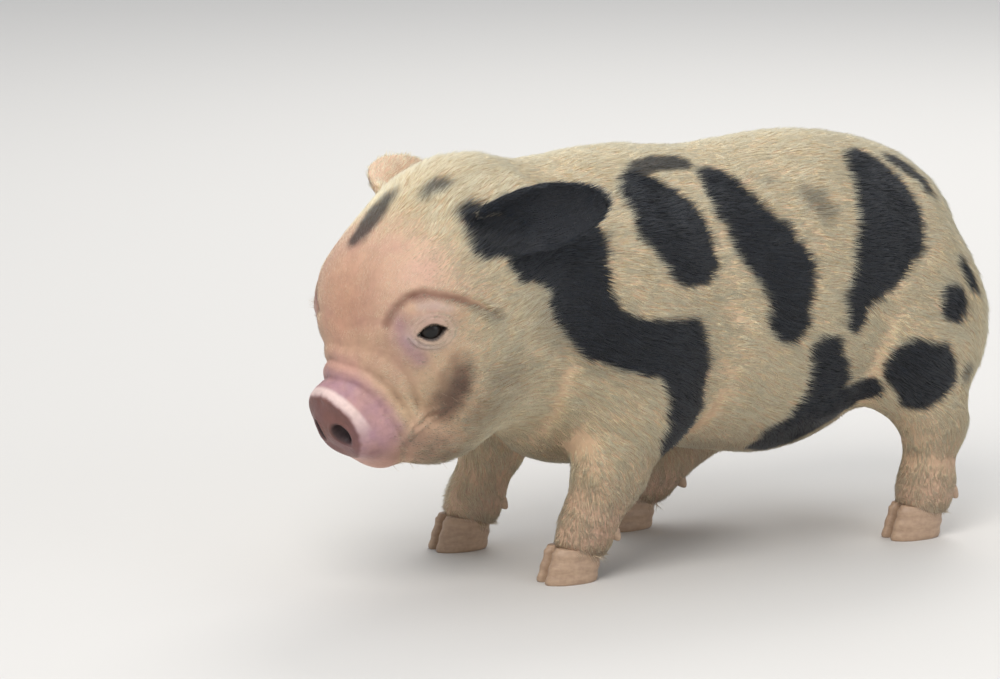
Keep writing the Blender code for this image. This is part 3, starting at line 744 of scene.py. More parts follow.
@dataclass(frozen=True)
class Places:
    """How far each point belongs to each region of the body, from 0 to 1."""

    points: Array
    ear: Union[float, Array] = 0.0

    @cached_property
    def head_local(self) -> Array:
        """The points in the head's axes."""
        return HEAD.local(self.points)

    @cached_property
    def head(self) -> Array:
        """Ahead of the line behind the cheeks."""
        return ease(0.012, -0.012, behind(self.points, HEAD_CUT))

    @cached_property
    def face(self) -> Array:
        """From the brow forward."""
        forward, _, up = self.head_local.T
        return self.head * ease(0.006, 0.034, forward + 0.25 * up)

    @cached_property
    def snout(self) -> Array:
        """The bare end of the muzzle."""
        forward, _, up = self.head_local.T
        return self.head * ease(0.047, 0.057, forward + 0.12 * up)

    @cached_property
    def crown(self) -> Array:
        """The top of the head."""
        return self.head * ease(0.010, 0.030, self.head_local[:, 2])

    @cached_property
    def leg(self) -> Array:
        """Below the elbow and the stifle."""
        return ease(0.066, 0.046, self.points[:, 2]) * (1 - self.head)

    @cached_property
    def foot(self) -> Array:
        """Below the fetlock."""
        return ease(0.034, 0.018, self.points[:, 2]) * (1 - self.head)

    @cached_property
    def skirt(self) -> Array:
        """The coronet, where the hair hangs over the hoof."""
        return ease(0.0205, 0.0165, self.points[:, 2]) * (1 - self.head)

    @cached_property
    def belly(self) -> Array:
        """The underside of the barrel."""
        return ease(0.072, 0.050, self.points[:, 2]) * ease(0.052, 0.030, np.abs(self.points[:, 0]))

    @cached_property
    def tail(self) -> Array:
        """The tail beyond its root."""
        return ease(0.0030, 0.0015, TAIL.form(self.points)) * ease(0.110, 0.116, self.points[:, 1])

    @cached_property
    def eye(self) -> Array:
        """Spots in the eye's axes: outward, along the slit and across it."""
        return EYE.local(self.head_local)

    @cached_property
    def eye_rings(self) -> Array:
        """Rings round the eye, longer along the slit, 0 at its middle and 1 at its corners."""
        outward, along, across = self.eye.T
        rings = np.hypot(along / EYE.half_width, across / (0.78 * EYE.half_width))
        return np.where(outward > 0, rings, 99.0)

    @cached_property
    def coat_depth(self) -> Array:
        """How deep the skin lies under the tips of the coat."""
        depths = {"head": 1.3, "face": 0.6, "leg": 1.1, "foot": 0.6, "snout": 0.1, "tail": 0.3}
        return mix(self.regional(1.5, depths, MM), 0.4 * MM, ease(2.6, 1.4, self.eye_rings))

    def regional(self, base: float, own: dict[str, float], unit_size: float = 1.0) -> Array:
        """A measure that changes from region to region.

        Args:
            base: Its value where no region has its own.
            own: The regions' own values, later ones over earlier ones.
            unit_size: What the values are given in.

        Returns:
            The measure at each point.
        """
        total = np.full(len(self.points), base * unit_size)
        for region, value in own.items():
            total = mix(total, value * unit_size, getattr(self, region))
        return total


class Side(Enum):
    """The side of the animal that a patch lies on."""

    LEFT = 1
    RIGHT = -1


@dataclass(frozen=True)
class Patch:
    """A dark patch on the body: a chain of round spots seen from the side.

    Each spot is its place along the body, its height and its radius, in millimetres.
    """

    side: Side
    spots: tuple[Triple, ...]
    strength: float = 1.0
    soft: float = 1.6

    def centres(self) -> Array:
        """The spots' centres on the body's surface, in metres.

        Returns:
            Rows of a place and a radius.
        """
        rows, outside, moves, pace = np.array(self.spots) * MM, 0.09, 60, 0.7
        points = np.column_stack([np.full(len(rows), outside * self.side.value), rows[:, :2]])
        for _ in range(moves):
            points[:, 0] -= self.side.value * pace * np.maximum(body_form(points), 0)
        return np.column_stack([points, rows[:, 2]])


@dataclass(frozen=True)
class HeadPatch:
    """A dark patch on the head: forward, left, up and radius of each spot, in millimetres."""

    spots: tuple[Spot, ...]
    strength: float = 1.0
    soft: float = 1.6

    def centres(self) -> Array:
        """The spots' centres, in metres and in the animal's axes."""
        rows = np.array(self.spots) * MM
        return np.column_stack([HEAD.point(rows[:, :3]), rows[:, 3]])


PATCHES = (
    Patch(Side.LEFT, ((-115, 144, 15), (-94, 142.5, 12.5), (-96, 123, 13.4), (-87, 106.5, 12.8),
                      (-71, 98.5, 11.5), (-51, 97, 13), (-46, 78, 12), (-46, 65, 11.5), (-46.5, 57, 9))),
    Patch(Side.LEFT, ((-57, 159.5, 12), (-50.5, 148, 17), (-44, 134, 13))),
    Patch(Side.LEFT, ((-19, 161, 8), (-15.5, 149.5, 12), (-8, 138, 14), (-0.5, 126, 13),
                      (2.5, 114, 10), (0.5, 104.5, 8.8))),
    Patch(Side.LEFT, ((-53, 167, 4.5), (-43, 168.5, 5.5), (-32, 168, 4.5)), 0.9),
    Patch(Side.LEFT, ((53.5, 164, 8), (56, 151, 16), (55, 137, 19), (44.5, 122.5, 13.5), (33, 110, 7),
                      (32, 101, 5))),
    Patch(Side.LEFT, ((71, 162.5, 5), (78, 157.5, 6), (84, 150.5, 5)), 0.95),
    Patch(Side.LEFT, ((84.5, 103, 8.5),)),
    Patch(Side.LEFT, ((62.5, 76, 13.5), (71, 74, 13.5), (67, 64.5, 9))),
    Patch(Side.LEFT, ((93, 72, 4.3),), 0.6),
    Patch(Side.LEFT, ((9, 43.5, 9), (15.5, 50, 13), (25, 58, 15), (38, 62, 12.5), (47, 66, 9))),
    Patch(Side.LEFT, ((25, 64, 12), (22.5, 79, 10), (20.5, 90, 7.5))),
    Patch(Side.LEFT, ((19, 153, 4), (24, 147, 4.5)), 0.5, 3.0),
    Patch(Side.LEFT, ((-2, 160.5, 3), (2, 159, 3)), 0.35, 3.0),
    Patch(Side.LEFT, ((25, 100.5, 3.5),), 0.4),
    Patch(Side.LEFT, ((91.5, 119.5, 4.2), (98, 110, 5))),
    Patch(Side.LEFT, ((-106, 116, 8), (-97, 103, 9), (-84, 95, 8), (-66, 88, 6)), 0.35, 8.0),
    Patch(Side.RIGHT, ((-60, 142, 12), (-50, 130, 15), (-46, 113, 10), (-49, 99, 5))),
    Patch(Side.RIGHT, ((4, 158, 9), (12, 146, 13), (21, 129, 12), (20, 113, 7))),
    Patch(Side.RIGHT, ((72, 141, 13), (66, 125, 13), (58, 113, 6))),
    Patch(Side.RIGHT, ((-9, 90, 8), (3, 82, 11), (11, 70, 9))),
    Patch(Side.RIGHT, ((64, 88, 10), (70, 78, 9))),
    Patch(Side.RIGHT, ((-97, 110, 13), (-89, 97, 9))),
    Patch(Side.RIGHT, ((38, 103, 4.5),)),
    Patch(Side.RIGHT, ((-26, 167, 4),), 0.5),
    Patch(Side.RIGHT, ((90, 106, 4.5),)),
    Patch(Side.RIGHT, ((-70, 74, 6), (-72, 62, 5)), 0.8),
    HeadPatch(((-12, 36, 26, 11), (-20, 34.5, 27.5, 10.5), (-24, 40, 16, 14), (-29, 47, 2, 12))),
    HeadPatch(((-11, 31, 36.5, 7), (-8, 39, 26, 7)), 1.0, 2.2),
    HeadPatch(((19, -11, 39, 4.5), (13, -9.5, 42, 6), (6, -8.5, 45, 6), (0, -7, 46, 4)), 0.85, 3.2),
    HeadPatch(((-7, 10, 47.5, 3.4), (-13, 13, 47.5, 3.8)), 0.75, 3.0),
    HeadPatch(((30.5, 35.0, -16, 3.2), (35.5, 28.5, -26.5, 4.0)), 0.46, 5.0),
    HeadPatch(((51.2, 18.2, -34.7, 3.0), (43.9, 21.2, -39.9, 3.5)), 0.25, 3.5),
    HeadPatch(((20, -37, -12, 3.0),), 0.40, 4.0),
    HeadPatch(((40, -22, -30, 3.0),), 0.3, 3.5),
)


@dataclass(frozen=True)
class Smudge:
    """A soft tint on both sides of the face; many are painted shade round the brow, eye socket, cheeks and
    jaw.

    Each spot is its place forward, aside and up and its radius, in millimetres.
    """

    tint: str
    spots: tuple[Spot, ...]
    strength: float
    soft: float

    def over(self, head_local: Array) -> Array:
        """The tint's share at each spot of the head."""
        gaps = chain_gap(mirrored(head_local, 1), np.array(self.spots) * MM)
        return self.strength * ease(self.soft * MM, -self.soft * MM, gaps)


SMUDGES = (
    # Painted shade: the brow fold's shadow along its arc and at its outer end, fading down the socket's
    # front edge.
    Smudge("brown", tuple((f / MM, aside / MM, up / MM, 1.9) for f, aside, up in BROW_ARC), 0.95, 2.8),
    Smudge("brown", ((33, 28.5, 25.2, 1.6), (24.5, 35, 22.8, 1.8)), 0.95, 3.2),
    Smudge("brown", ((17.4, 41.5, 11.0, 1.6), (21.9, 40.3, 11.5, 1.4)), 0.55, 2.2),
    Smudge("brown", ((42.5, 22.0, 18, 1.5), (45, 22.5, 10, 1.5), (45, 24, 2, 1.2)), 0.30, 4.0),
    Smudge("brown", ((26.9, 38.1, -9.4, 5), (30.5, 35, -17, 8), (36, 28.5, -26, 8)), 0.78, 6.0),
    Smudge("brown", ((50.9, 12.9, 7.8, 4), (46.6, 21.6, 8.8, 3)), 0.30, 6.0),
    # Painted shade from under the disc back along the lower jaw.
    Smudge("brown", ((66, 12, -29, 3), (57, 14.5, -37.5, 4), (46, 17.5, -44.5, 5), (34, 16, -52, 8)),
           0.55, 6.0),
    # Painted shade: a broad darkening over the lower cheeks and jaw.
    Smudge("brown", ((14, 40, -28, 12), (34, 25, -44, 12), (56, 14, -36, 8)), 0.38, 12.0),
    # Painted shade in the eye socket's inner corner, in mauve.
    Smudge("mauve", ((38.7, 27.2, 19, 2.5), (40.5, 28.2, 13, 3.5), (40.8, 29.5, 6, 3.5),
                     (39.4, 30.9, 0.5, 2.5)), 0.80, 4.5),
    # Painted shade that the brow casts over the upper lid.
    Smudge("brown", ((36, 29, 17, 4), (29, 35, 14, 5), (21, 40, 9, 4)), 0.36, 6.0),
    # Painted shade: a faint darkening over the whole face.
    Smudge("brown", ((44, 8, 12, 22), (20, 22, 4, 24)), 0.13, 10.0),
    Smudge("pale", ((30.3, 33.3, 20.5, 1.8), (25.6, 36.6, 18.5, 2.2), (22, 39.4, 14.5, 1.4)), 0.50, 2.4),
    Smudge("pale", ((39.8, 30.2, 11.4, 1.4), (38.1, 33.2, 6.9, 1.8), (33.5, 36.5, 2.8, 1.6)), 0.65, 2.6),
)


@dataclass(frozen=True)
class MuzzleFolds:
    """Folds that ring the muzzle behind the disc, strongest on top and fading under the mouth.

    Each ridge or valley is how far behind the disc it lies, its width and its height, in millimetres.
    """

    ridges: tuple[Triple, ...] = (
        (2.6, 1.7, 0.30),
        (8.5, 1.6, 0.66),
        (14.3, 1.8, 0.58),
        (20.2, 2.0, 0.34),
    )
    valleys: tuple[Triple, ...] = (
        (5.7, 1.1, 0.80),
        (11.5, 1.2, 0.72),
        (17.1, 1.3, 0.55),
        (23.0, 1.4, 0.25),
    )
    slant: float = 0.20
    grain: Grain = field(default_factory=lambda: Grain(29))

    def behind(self, places: Places) -> Array:
        """How far behind the disc each place lies, less on the muzzle's sides."""
        aside = np.hypot(places.head_local[:, 1], 3 * MM)
        return -DISC.local(places.head_local)[:, 0] - self.slant * aside

    def height(self, places: Places, rows: Sequence[Triple]) -> Array:
        """How far these ridges stand out, or these valleys are pressed in.

        Args:
            places: The places.
            rows: The ridges or the valleys.

        Returns:
            One height for each place.
        """
        forward, _, up = places.head_local.T
        behind, total = self.behind(places), np.zeros(len(forward))
        for place, width, height in rows:
            apart = places.points + place * MM
            spot = behind + 0.9 * MM * self.grain.at(apart, 13 * MM)
            strength = np.clip(0.85 + 0.6 * self.grain.at(apart, 8 * MM), 0.2, 1.4)
            total += height * MM * strength * bell(spot - place * MM, width * MM)
        return total * places.head * ease(-0.038, -0.022, up) * ease(0.026, 0.040, forward)


FOLDS = MuzzleFolds()


@dataclass
class Markings:
    """The spots and tints that skin and coat share, worked out from each point's place alone."""

    grain: Grain = field(default_factory=lambda: Grain(11))

    def black(self, places: Places) -> Array:
        """How black the skin and coat are at each point, with painted shade in the nostrils.

        Args:
            places: The points.

        Returns:
            Shares from 0 to 1.
        """
        points = places.points
        rough = 2.2 * MM * self.grain.at(points, 11 * MM) + 1.0 * MM * self.grain.at(points, 3.5 * MM)
        total = 0.95 * places.tail
        for patch in PATCHES:
            gaps = chain_gap(points, patch.centres()) + rough
            edge = ease(patch.soft * MM, -patch.soft * MM, gaps)
            total = np.maximum(total, patch.strength * edge)
        outward, along, across = places.eye.T
        rim = ease(1.5 * MM, 0.3 * MM, np.abs(lid_gap(along, across))) * (outward > 0)
        # The nostrils get painted shade: near-black deep inside them.
        return np.max([total, 0.92 * rim, 0.80 * self.nostrils(places)], axis=0)

    def nostrils(self, places: Places) -> Array:
        """How deep in a nostril each point lies, which sets the painted shade there.

        Args:
            places: The points.

        Returns:
            Shares from 0 to 1.
        """
        flat = DISC.local(places.head_local)
        inside = (flat[:, 0] > -6 * MM) & (DISC.share(flat) < 0.9)
        return ease(1.25, 0.85, DISC.nostrils(flat)) * inside * places.snout

    def bare(self, places: Places) -> Array:
        """How bare and pink the skin is at each point.

        Args:
            places: The points.

        Returns:
            Shares from 0 to 1.
        """
        forward, _, up = places.head_local.T
        bridge = places.head * ease(0.020, 0.046, forward) * ease(-0.02, 0.0, up)
        brow = places.head * ease(-0.005, 0.020, forward) * ease(0.004, 0.018, up)
        chin = places.head * ease(0.030, 0.050, forward) * ease(-0.020, -0.032, up)
        feet = ease(0.050, 0.014, places.points[:, 2])
        total = np.max([places.snout, 0.45 * bridge, 0.55 * brow, 0.4 * chin, 0.40 * feet], axis=0)
        mottle = 0.16 * self.grain.at(places.points, 9 * MM) + 0.14 * self.grain.at(places.points, 3.5 * MM)
        return np.clip(total + mottle * (0.35 + 1.3 * total), 0, 1)

    def warm(self, places: Places) -> Array:
        """How orange the face is: strongest along the middle of the nose's bridge.

        Args:
            places: The points.

        Returns:
            Shares from 0 to 1.
        """
        forward, left, up = places.head_local.T
        bridge = ease(0.016, 0.036, forward) * ease(0.058, 0.044, forward) * ease(-0.004, 0.012, up)
        middle = ease(0.026, 0.002, np.abs(left))
        uneven = 0.62 + 0.25 * self.grain.at(places.points, 12 * MM)
        return np.clip(places.head * bridge * middle * uneven, 0, 1)

    def snout(self, places: Places) -> dict[str, Array]:
        """Upper snout's mauve, painted highlight on the disc's rim, red-brown and painted shade on its face
        and creases.

        Args:
            places: The points.

        Returns:
            Shares by the names of their attributes.
        """
        flat = DISC.local(places.head_local)
        share, front = DISC.share(flat), ease(-1.5 * MM, 0.5 * MM, flat[:, 0]) * places.snout
        points, near = places.points, ease(-0.024, -0.008, flat[:, 2])
        patchy = self.grain.at(points, 5 * MM) + 0.6 * self.grain.at(points, 2.2 * MM)
        upper = ease(-0.5, 0.5, flat[:, 2] / DISC.radius)
        # Painted highlight: a pale band along the disc's rim, brightest on its upper side.
        rim = front * ease(0.87, 0.95, share + 0.04 * patchy) * ease(1.10, 1.02, share + 0.03 * patchy)
        rim *= 0.05 + 0.80 * upper
        # The disc's face in red-brown: partly its own colour, partly painted shade.
        face = front * ease(0.97, 0.85, share + 0.05 * patchy) * (0.78 + 0.12 * upper)
        # Painted shade in the muzzle's creases, from the depth of the fold valleys.
        crease = FOLDS.height(places, FOLDS.valleys) / (0.9 * MM)
        mauve = places.head * ease(10.5 * MM, 5.5 * MM, FOLDS.behind(places)) * near
        return {"mauve": np.clip(mauve * (0.80 + 0.25 * patchy), 0, 1), "rim": rim,
                "brown": np.maximum(face, 0.45 * crease)}

    def tints(self, points: Array) -> dict[str, Array]:
        """Every marking at these points, by the name of its attribute.

        Args:
            points: Rows of positions.

        Returns:
            Shares by name.
        """
        places = Places(points)
        tints = {"black": self.black(places), "bare": self.bare(places), "warm": self.warm(places)}
        tints["pale"] = 0.30 * places.head * ease(2.6, 1.5, places.eye_rings)
        tints.update(self.snout(places))
        for smudge in SMUDGES:
            mottle = 1 + 0.35 * self.grain.at(points, 4 * MM)
            share = np.clip(smudge.over(places.head_local) * mottle, 0, 1) * places.head
            tints[smudge.tint] = np.maximum(tints[smudge.tint], share)
        # A light brown over the lower legs: partly skin under their short hair, partly painted shade.
        tints["brown"] = np.maximum(tints["brown"], 0.20 * places.leg)
        return tints

    def on_ears(self, tints: dict[str, Array], left: Array, on_ear: Array, pink: float) -> None:
        """Makes the left ear black and the right one pink in a set of markings.

        Args:
            tints: The markings, which are changed.
            left: Whether each point is on the animal's left.
            on_ear: How much of each point is ear.
            pink: How bare the ears are.
        """
        dark, light = np.maximum(tints["black"], on_ear), mix(tints["black"], 0, on_ear)
        tints["black"] = np.where(left, dark, light)
        tints["bare"] = mix(tints["bare"], pink, on_ear)


def lid_gap(along: Array, across: Array) -> Array:
    """Distance past the edge of the lids' almond opening, below 0 inside it.

    Args:
        along: Places along the slit.
        across: Places across it.

    Returns:
        One distance for each spot.
    """
    half = EYE.half_height * (1 - np.square(np.clip(along / EYE.half_width, -1, 1)))
    inside = np.abs(across) - half
    past = np.abs(along) - EYE.half_width
    return np.where(past < 0, inside, np.hypot(past, across))


def placed(name: str, data: bpy.types.ID) -> bpy.types.Object:
    """Puts a new object with this mesh, light or camera into the scene.

    Args:
        name: The object's name.
        data: What it shows.

    Returns:
        The object.
    """
    item = bpy.data.objects.new(name, data)
    bpy.context.scene.collection.objects.link(item)
    return item


def ball_parts(around: int, rings: int, triangles: bool = False) -> tuple[Array, list[list[int]]]:
    """A ball of radius 1.

    Args:
        around: Faces round it.
        rings: Faces from pole to pole.
        triangles: Whether its faces are cut into triangles.

    Returns:
        Its points, and its faces as lists of vertex numbers.
    """
    model = bmesh.new()
    bmesh.ops.create_uvsphere(model, u_segments=around, v_segments=rings, radius=1)
    if triangles:
        bmesh.ops.triangulate(model, faces=model.faces)
    points = np.array([vert.co for vert in model.verts])
    faces = [[vert.index for vert in face.verts] for face in model.faces]
    model.free()
    return points, faces


def mesh_piece(name: str, points: Array, corners: Array) -> bpy.types.Object:
    """Makes a triangle mesh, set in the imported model's place.

    Args:
        name: The piece's name.
        points: Rows of positions in the animal's own axes.
        corners: Rows of three vertex numbers.

    Returns:
        The new object, shaded smooth.
    """
    mesh = bpy.data.meshes.new(name)
    mesh.vertices.add(len(points))
    mesh.vertices.foreach_set("co", (points + CAD_SHIFT).astype(np.float32).ravel())
    mesh.loops.add(corners.size)
    mesh.loops.foreach_set("vertex_index", corners.astype(np.int32).ravel())
    mesh.polygons.add(len(corners))
    mesh.polygons.foreach_set("loop_start", np.arange(0, corners.size, 3, dtype=np.int32))
    mesh.update(calc_edges=True)
    mesh.shade_smooth()
    return placed(name, mesh)


def write_values(piece: bpy.types.Object, values: dict[str, Array]) -> None:
    """Stores one number for each vertex under each name.

    Args:
        piece: The object.
        values: The numbers by name.
    """
    for name, numbers in values.items():
        layer = piece.data.attributes.new(name, "FLOAT", "POINT")
        layer.data.foreach_set("value", numbers.astype(np.float32))


def read_points(mesh: bpy.types.Mesh) -> Array:
    """The mesh's vertices as rows.

    Args:
        mesh: The mesh.

    Returns:
        The rows.
    """
    flat = np.empty(len(mesh.vertices) * 3, np.float32)
    mesh.vertices.foreach_get("co", flat)
    return flat.reshape(-1, 3).astype(float)


def read_corners(mesh: bpy.types.Mesh) -> Array:
    """The mesh's faces cut into triangles, as rows of vertex numbers.

    Args:
        mesh: The mesh.

    Returns:
        The rows.
    """
    mesh.calc_loop_triangles()
    flat = np.empty(len(mesh.loop_triangles) * 3, np.int32)
    mesh.loop_triangles.foreach_get("vertices", flat)
    return flat.reshape(-1, 3)


def face_normals(points: Array, corners: Array) -> Array:
    """The normals of a mesh's triangles, each as long as twice the triangle's area."""
    first, second, third = (points[corners[:, i]] for i in range(3))
    return np.cross(second - first, third - first)


def normals_of(points: Array, corners: Array) -> Array:
    """The vertex normals of a triangle mesh.

    Args:
        points: Rows of positions.
        corners: Rows of three vertex numbers.

    Returns:
        One normal for each point.
    """
    faces = face_normals(points, corners)
    total = np.empty_like(points)
    for axis in range(3):
        total[:, axis] = np.bincount(corners.ravel(), np.repeat(faces[:, axis], 3), len(points))
    return unit(total)


@dataclass(frozen=True)
class Zoom:
    """Swells space about the face, so that an even remesh gives it finer faces."""

    centre: Triple = (0.036, 0, -0.006)
    scale: float = 2.8
    inner: float = 0.040
    outer: float = 0.062
    reach: float = 0.6
    steps: int = 1200

    @cached_property
    def table(self) -> tuple[Array, Array]:
        """Radii before and after the swelling."""
        radii = np.linspace(0, self.reach, self.steps)
        slope = mix(self.scale, 1.0, ease(self.inner, self.outer, radii))
        return radii, np.concatenate([[0], np.cumsum((slope[1:] + slope[:-1]) / 2)]) * radii[1]

    def moved(self, points: Array, back: bool) -> Array:
        """The points swollen, or moved back to their true places.

        Args:
            points: Rows of positions.
            back: Whether they are moved back.

        Returns:
            The moved points.
        """
        before, after = self.table[::-1] if back else self.table
        offset = points - HEAD.point(self.centre)
        radius = np.maximum(np.linalg.norm(offset, axis=1), TINY)
        return HEAD.point(self.centre) + offset * (np.interp(radius, before, after) / radius)[:, None]


@dataclass
class Skin:
    """One seamless skin over head, ears, neck, barrel, legs and tail."""

    markings: Markings
    voxel: float = 1.45 * MM
    ear_reach: float = 9 * MM
    ear_melt: float = 4 * MM
    ear_seed: float = 1.2 * MM
    pit_depth: float = 4.6 * MM
    sunk: float = 1.0 * MM
    mouth: tuple[Triple, ...] = (
        (0.0618, 0.000, -0.0350),
        (0.0608, 0.0055, -0.0346),
        (0.0565, 0.0115, -0.0328),
        (0.0485, 0.0178, -0.0298),
        (0.0395, 0.0222, -0.0272),
        (0.0310, 0.0258, -0.0255),
    )
    points: Array = field(init=False)
    corners: Array = field(init=False)
    on_ear: Array = field(init=False)
    ear_share: Array = field(init=False)

    def seeds(self) -> tuple[Array, list[list[int]]]:
        """Overlapping closed forms inside every mass, as points and faces.

        Returns:
            The points and the faces.
        """
        ball, ball_faces = ball_parts(24, 14)
        spots = [(mass.centre, mass.sizes) for mass in TORSO]
        spots += [(mass.centre * vec(-1, 1, 1), mass.sizes) for mass in TORSO if mass.mirror is not None]
        for mass in SKULL.masses:
            if isinstance(mass, Ball):
                for side in (1, -1):
                    spots.append((HEAD.point(mass.centre * vec(1, side, 1)), np.full(3, min(mass.sizes))))
        cones = [NECK] + [cone for leg in Leg for cone in leg_cones(leg)]
        for mass in SKULL.masses:
            if isinstance(mass, Cone):
                ends = (tuple(HEAD.point(mass.start)), tuple(HEAD.point(mass.end)))
                cones.append(Cone(*ends, mass.radii, 0))
        cones += chain(TAIL.stations)
        stations, least = 8, 2 * MM
        for cone in cones:
            for share in np.linspace(0, 1, stations):
                centre = mix(np.array(cone.start), np.array(cone.end), share)
                radius = max(mix(*cone.radii, share), least)
                if centre[2] > CORONET_HEIGHT + 0.3 * radius:
                    spots.append((centre, np.full(3, radius)))
        points, faces = [], []
        for centre, sizes in spots:
            start = len(points) * len(ball)
            points.append(ball * sizes + centre)
            faces += [[corner + start for corner in face] for face in ball_faces]
        total = sum(len(part) for part in points)
        disc = ball * (DISC.thickness * 0.7, DISC.radius * 0.95, DISC.radius * 0.95)
        points.append(HEAD.point(disc @ DISC.axes + DISC.centre))
        faces += [[corner + total for corner in face] for face in ball_faces]
        total += len(ball)
        for ear in EARS:
            sheet, squares = ear.grid
            across = normals_of(sheet, np.concatenate([squares[:, :3], squares[:, [0, 2, 3]]]))
            across *= self.ear_seed
            points += [sheet + across, sheet - across]
            count = len(sheet)
            faces += (squares + total).tolist() + (squares[:, ::-1] + total + count).tolist()
            grid = np.arange(count).reshape(ear.rows, ear.columns)
            rim = np.concatenate([grid[0, :-1], grid[:-1, -1], grid[-1, :0:-1], grid[:0:-1, 0]]) + total
            ahead = np.roll(rim, -1)
            faces += np.stack([rim, rim + count, ahead + count, ahead], axis=1).tolist()
            total += 2 * count
        return np.concatenate(points), faces

    def remeshed(self, zoom: Zoom) -> bpy.types.Mesh:
        """The seeds melted into one closed mesh, finer over the face.

        Args:
            zoom: What makes it finer.

        Returns:
            The mesh.
        """
        points, faces = self.seeds()
        mesh = bpy.data.meshes.new("seeds")
        mesh.from_pydata(zoom.moved(points, back=False).tolist(), [], faces)
        seeds = placed("seeds", mesh)
        melt = seeds.modifiers.new("melt", "REMESH")
        melt.mode = "VOXEL"
        melt.voxel_size = self.voxel
        graph = bpy.context.evaluated_depsgraph_get()
        skin = bpy.data.meshes.new_from_object(seeds.evaluated_get(graph))
        bpy.data.objects.remove(seeds)
        return skin

    def relaxed(self, edges: Array, points: Array, rounds: int) -> Array:
        """The points moved half way to their neighbours' middle, some times over.

        Args:
            edges: Rows of two vertex numbers.
            points: Rows of positions.
            rounds: How many times.

        Returns:
            The moved points.
        """
        degree = np.bincount(edges.ravel(), minlength=len(points))[:, None]
        for _ in range(rounds):
            total = np.empty_like(points)
            for axis in range(3):
                total[:, axis] = np.bincount(edges[:, 0], points[edges[:, 1], axis], len(points))
                total[:, axis] += np.bincount(edges[:, 1], points[edges[:, 0], axis], len(points))
            points = mix(points, total / degree, 0.5)
        return points

    def settled(self, points: Array, steps: int) -> Array:
        """The points brought onto the body and ears, under the coat's depth.

        Args:
            points: Rows of positions near the surface.
            steps: How many moves are made.

        Returns:
            The moved points.
        """
        depth = Places(points).coat_depth
        for _ in range(steps):
            value = body_form(points) + depth
            slope = slope_of(lambda spots: body_form(spots) + depth, points, value)
            for ear in EARS:
                near = ear.near(points, self.ear_reach)
                spots, gaps, shares = ear.nearest(points[near])
                thick = mix(1.5 * MM, ear.half_thickness, ease(0.05, 0.45, shares))
                form = gaps - thick
                away = (points[near] - spots) / np.maximum(gaps, TINY)[:, None]
                first = value[near]
                apart = first - form
                melt = np.clip(1 - np.abs(apart) / self.ear_melt, 0, 1) / 2 * np.sign(apart)
                body_part = (apart < 0) + melt
                ear_part = (apart > 0) - melt
                slope[near] = slope[near] * body_part[:, None] + away * ear_part[:, None]
                value[near] = blend(first, form, self.ear_melt)
            points = stepped(points, value, slope, 3 * MM)
        return points

    def mark_ears(self) -> None:
        """Notes how much of each vertex is ear, and how far along the ear it lies."""
        self.on_ear, self.ear_share = np.zeros((2, len(self.points)))
        for ear in EARS:
            near = ear.near(self.points, 3 * MM)
            _, gaps, shares = ear.nearest(self.points[near])
            outside = ease(0.5 * MM, 3 * MM, body_form(self.points[near]))
            self.on_ear[near] = np.maximum(self.on_ear[near], ease(3 * MM, 1.5 * MM, gaps) * outside)
            self.ear_share[near] = np.where(gaps < 3 * MM, shares, self.ear_share[near])

    def folded(self, points: Array) -> Array:
        """The points with the face's folds, lids, nostrils, mouth line and creases pressed in.

        Args:
            points: Rows of positions.

        Returns:
            The moved points.
        """
        places = Places(points)
        lift = FOLDS.height(places, FOLDS.ridges) - FOLDS.height(places, FOLDS.valleys)
        lift += self.eye_folds(places) + self.body_creases(places) - self.mouth_line(places)
        lift += self.snout_wrinkles(places)
        points = points + normals_of(points, self.corners) * lift[:, None]
        points = self.snout_face(points)
        return self.lids(points)

    def snout_wrinkles(self, places: Places) -> Array:
        """Small, uneven wrinkles that run lengthways over the bare snout.

        Args:
            places: The skin's points.

        Returns:
            One height for each.
        """
        flat = DISC.local(places.head_local)
        turn = np.arctan2(flat[:, 2], flat[:, 1]) * DISC.radius
        spots = np.column_stack([turn, 0.35 * flat[:, 0], np.zeros(len(turn))])
        grain = self.markings.grain
        uneven = grain.at(spots, 2.4 * MM) + 0.6 * grain.at(places.points, 1.7 * MM)
        return 0.16 * MM * uneven * places.snout * ease(0.5 * MM, 2.5 * MM, -flat[:, 0])

    def eye_folds(self, places: Places) -> Array:
        """Wrinkled lids in broken rings round the eye, under the brow's arched fold.

        Args:
            places: The skin's points.

        Returns:
            One height for each.
        """
        outward, along, across = places.eye.T
        grain = self.markings.grain
        rings = places.eye_rings + 0.14 * grain.at(places.points, 6 * MM)
        lift = np.zeros(len(rings))
        upper = ((1.26, 0.10, 0.30), (1.60, 0.13, 0.34))
        lower = ((1.26, 0.10, 0.26), (1.66, 0.16, 0.30))
        for rows, here in ((upper, across > 0), (lower, across <= 0)):
            for place, width, height in rows:
                ridge = bell(rings - place, width)
                valley = bell(rings - place - 1.35 * width, 0.6 * width)
                lift += here * height * MM * (ridge - 1.2 * valley)
        broken = np.clip(0.8 + 0.8 * grain.at(places.points, 4 * MM), 0, 1.4)
        lift *= ease(0.0, 1.2 * MM, np.abs(across)) * broken
        spots = mirrored(places.head_local, 1)
        near = (places.head > 0.5) & (outward > -12 * MM) & (np.hypot(along, across) < 24 * MM)
        for shift, width, height in ((0.0, 1.6, -0.95), (3.8, 2.4, 0.70), (-4.6, 2.2, 0.40)):
            gap = np.full(len(rings), FAR)
            gap[near] = route_gap(spots[near], np.add(BROW_ARC, vec(0, 0.2, 1.0) * shift * MM))
            lift += height * MM * bell(gap, width * MM)
        return lift * places.head

